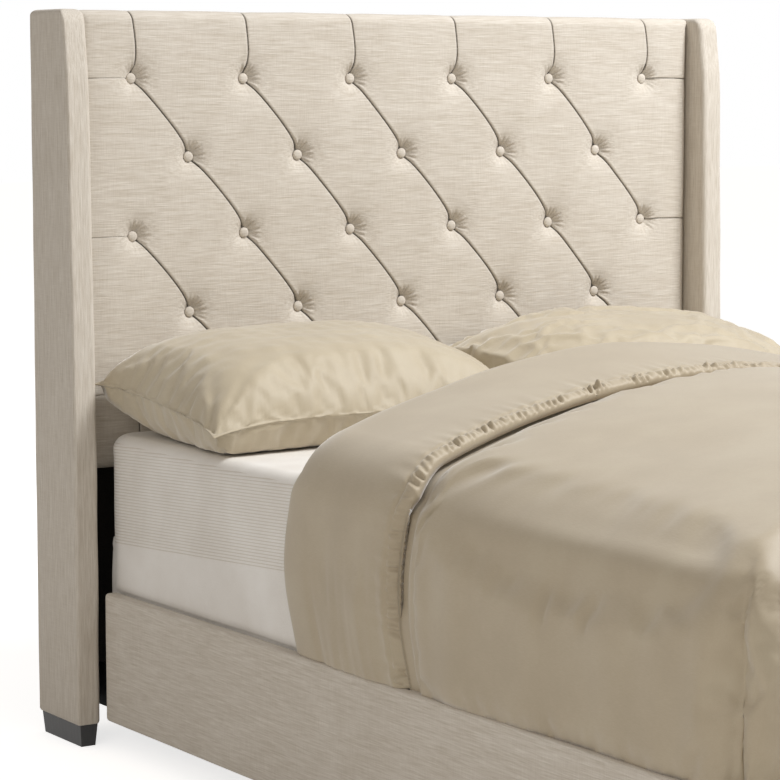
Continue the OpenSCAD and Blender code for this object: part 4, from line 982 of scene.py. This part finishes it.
def duvet_fold():
    """The turned-back end of the duvet: rolled at the front, with a gathered border at its hem."""
    back = np.array([0, 0.002, 0.005, 0.009, 0.013, 0.017, 0.021, 0.0235, 0.026, 0.029, 0.033])
    top = np.concatenate([FOLD_W - back, np.linspace(FOLD_W - 0.040, 0.075, 26)])
    count = 900             # places over the bed's width, enough for gathers 7 mm across
    outer = quilt(top, count)
    z = outer[..., 2]
    d = top[:, None] + np.zeros(z.shape)
    back = FOLD_W - d
    steps = np.linalg.norm(np.diff(outer[0], axis=0), axis=1)
    s = np.append(0, np.cumsum(steps)) + np.zeros(z.shape)
    puffed = 0.010 * np.sqrt(np.clip(back / 0.022, 0, 1))
    border = np.exp(-((back - 0.012) / 0.0125) ** 4)
    beat = rumple(np.stack([s, back * 0.4], -1), 0.015, 41)
    beat += 0.6 * rumple(np.stack([s, back * 0.3], -1), 0.036, 42)
    gather = 0.0056 * border * beat * (0.72 + 0.50 * rumple(s[..., None], 0.10, 43))
    stitch = 0.0030 * hump((back - 0.0265) / 0.0034) * (0.8 + 0.3 * rumple(s[..., None], 0.09, 44))
    comb = np.exp(-np.maximum(back - 0.027, 0) / 0.026) * (back > 0.0262)
    tucks = 0.0028 * comb * rumple(np.stack([s, back * 0.2], -1), 0.034, 45)
    sunk = 0.014 * ease_in((0.66 - z) / 0.08) * hump(back / 0.017)
    low = ease_in((0.60 - z) / 0.18)
    ripple = 0.0042 * low * rumple(np.stack([d, z * 0.16], -1), 0.085, 46)
    ripple += 0.0022 * low * rumple(np.stack([d, z * 0.12], -1), 0.036, 47)
    soft = 0.0026 * rumple(outer, 0.30, 48)
    outer = bulge(outer, puffed + gather - stitch - sunk + tucks + ripple + soft)

    front, row = quilt([0.0, 0.075], count)
    inward = against_mattress(row)
    reach = np.linalg.norm(row - inward, axis=1)[:, None]
    heading = (inward - row) / np.maximum(reach, 1e-6)
    depth = np.minimum(0.070, reach * 0.5)
    lead = (front - row)[:, 1:2] * (0, 1, 0)
    rolled = [outer[-1] + lead * math.cos(a) + heading * depth * (1 - math.sin(a))
              for a in np.radians(np.linspace(90, 0, 11)[1:])]
    base = inward + lead * 0.86
    rolled += [rolled[-1] + (base - rolled[-1]) * t for t in (0.2, 0.4, 0.6, 0.8, 1.0)]

    under = quilt(top[::-1], count)
    wall = np.minimum(0.014, np.linalg.norm(under - against_mattress(under), axis=2) * 0.55)
    inner = bulge(under, -wall)
    inner[-1] = bulge(under, -wall * 0.35)[-1]
    turned = base + (inner[0] - base) * 0.5
    ring = np.concatenate([outer, rolled, turned[None], inner, outer[:1]])
    ring[..., 2] = np.maximum(ring[..., 2], HEM_Z)
    return smooth_faces(closed("duvet_fold", ring))


# ---------- dressing the bed ----------

panel_linen = linen("linen_crosswise", 0, 2)
wing_linen = linen("linen_upright", 2, 1)
rail_linen = linen("linen_lengthwise", 1, 2)
khaki_pillow = sateen("pillow_sateen", "B3A68D", "B8AB92", "BDB199", 900)
khaki_duvet = sateen("duvet_sateen", "A99B83", "AD9F87", "B1A48C", 800)
sheet_cotton = percale("sheet_percale", True)
mattress_knit = percale("mattress_knit", False)
foundation_knit = percale("foundation_knit", False)
black_cambric = cambric("black_cambric", "1A1816", "3A3632")
twine = cambric("tufting_twine", "B9AA8C", "DCCFB4")
black_wood = timber("black_painted_wood", 2, "0F0D0C", "171413", "221E1B", 0.42)
pine_x, pine_y, pine_z = (timber("pine_" + way, axis, "C79F6B", "D9B682", "E6CB9E", 0.6)
                          for axis, way in enumerate(("crosswise", "lengthwise", "upright")))
plywood = timber("birch_plywood", 0, "CFAE7C", "DDC194", "E8D2AB", 0.6)
poplar = timber("poplar_slat", 0, "CDB68E", "DCC8A3", "E8D8B9", 0.6)
zinc = metal("zinc_plated_steel", "A9ADB0", "C8CBCD", 1.0, 0.38)
black_steel = metal("black_coated_steel", "17181A", "232427", 0.4, 0.5)
nylon = metal("black_nylon", "1B1B1C", "262627", 0.0, 0.45)

CAD_FINISH = [
    (pine_x, ["headboard_top_rail", "headboard_middle_rail", "headboard_bottom_rail"]),
    (pine_y, ["rail_left_core", "rail_right_core", "ledger_left", "ledger_right", "centre_beam"]),
    (pine_z, ["headboard_left_post", "headboard_right_post", "centre_leg_1", "centre_leg_2", "centre_leg_3"]),
    (plywood, ["headboard_face_board", "wing_left_core", "wing_right_core", "footboard_core"]),
    (twine, ["tuft_ties"]),
    (black_cambric, ["lower_dust_cover"]),
    (black_wood, ["head_foot_left", "head_foot_right", "end_foot_left", "end_foot_right"]),
    (zinc, ["wing_bolts", "foot_screws", "ledger_screws", "frame_bolts", "glide_inserts", "leg_bolts",
            "slat_screws"]),
    (black_steel, ["rail_bracket_head_left", "rail_bracket_head_right", "rail_bracket_foot_left",
                   "rail_bracket_foot_right", "beam_hanger_head", "beam_hanger_foot"]),
    (nylon, ["levelling_glide_1", "levelling_glide_2", "levelling_glide_3"]),
    (poplar, ["slat_%d" % k for k in range(1, 8)]),
]
for material, nodes in CAD_FINISH:
    for node in nodes:
        for cad_slot in bpy.data.objects[node].material_slots:
            cad_slot.material = material

panel = dress(tufted_panel(), panel_linen, "bed_frame", "linen", "tufted_pad")
dress(covered_buttons(), panel_linen, "bed_frame", "button_linen", "tuft_buttons")

for word, side in (("left", -1), ("right", 1)):
    cover = "wing_%s_cover" % word
    wing = dress(upholstered_wing("wing_%s_linen" % word, cover, side), wing_linen,
                 "bed_frame", "linen", cover)
    cover = "rail_%s_cover" % word
    rail = dress(upholstered_bar("rail_%s_linen" % word, cover, 1, (4, 22), 120, 51 + side), rail_linen,
                 "bed_frame", "linen", cover)
board = dress(upholstered_bar("footboard_linen", "footboard_cover", 0, (5, 22), 100, 61), panel_linen,
              "bed_frame", "linen", "footboard_cover")

lining = dress(lining_cloth(), black_cambric, "bed_frame", "black_lining", "back_lining")
dress(lining_staples(), zinc, "bed_frame", "zinc_steel")

base = dress(foundation_block(), foundation_knit, "foundation", "foundation_cloth", "foundation")
core = dress(mattress_block(), mattress_knit, "mattress", "mattress_cloth", "mattress")
cloth = dress(stretched_sheet(), sheet_cotton, "mattress", "sheet_cotton", "fitted_sheet")
for word, side, seed, height in (("left", -1, 71, 0.108), ("right", 1, 75, 0.120)):
    cushion = dress(pillow("pillow_%s_case" % word, side, seed, height), khaki_pillow,
                    "pillow_" + word, "pillow_cotton", "pillow_" + word)
for skin in (duvet_body, duvet_fold):
    quilted = dress(skin(), khaki_duvet, "duvet", "duvet_cotton", "duvet")


# ---------- floor, light and world ----------

def parted(tree, seen, lit, output):
    """Shows the camera one shader, straight, off a gloss or through glass, and lights with another."""
    rays = add(tree, "LightPath").node.outputs
    either = add(tree, "Math", {0: rays["Is Camera Ray"], 1: rays["Is Glossy Ray"]}, operation="MAXIMUM")
    either = add(tree, "Math", {0: either, 1: rays["Is Transmission Ray"]}, operation="MAXIMUM")
    add(tree, output, {"Surface": add(tree, "MixShader", {0: either, 1: lit, 2: seen})})


bare_selection()
bpy.ops.mesh.primitive_plane_add(size=60, location=(0, 0, 0))
floor = bpy.context.object
floor.name = "studio_floor"
floor_paint = bpy.data.materials.new("pale_floor_paint")
floor_paint.use_nodes = True
tree = floor_paint.node_tree
tree.nodes.clear()
matt = add(tree, "BsdfDiffuse", {"Color": linear("EDECEA")})
glow = add(tree, "Emission", {"Color": (1, 1, 1, 1), "Strength": 0.72})
parted(tree, add(tree, "AddShader", {0: matt, 1: glow}), matt, "OutputMaterial")
floor.data.materials.append(floor_paint)


def softbox(name, place, aim, width, height, watts, tint):
    light = bpy.data.lights.new(name, "AREA")
    light.shape = "RECTANGLE"
    light.size, light.size_y = width, height
    light.energy = watts
    light.color = tint
    obj = bpy.data.objects.new(name, light)
    bpy.context.collection.objects.link(obj)
    obj.location = place
    obj.rotation_euler = (Vector(aim) - Vector(place)).to_track_quat("-Z", "Y").to_euler()


softbox("key_light", (2.1, -1.6, 4.5), (0, 0.3, 0.8), 1.6, 1.6, 258, (0.965, 0.98, 1.0))
softbox("fill_light", (-4.5, -2.2, 2.2), (0, 0.2, 0.7), 2.6, 2.2, 40, (1.0, 0.96, 0.91))

world = bpy.data.worlds.new("studio_world")
bpy.context.scene.world = world
world.use_nodes = True
tree = world.node_tree
tree.nodes.clear()
room = add(tree, "Background", {"Color": (1, 0.95, 0.90, 1), "Strength": 0.36})
white = add(tree, "Background", {"Color": (1, 1, 1, 1), "Strength": 1})
parted(tree, white, room, "OutputWorld")
bpy.context.scene.view_settings.view_transform = "Standard"
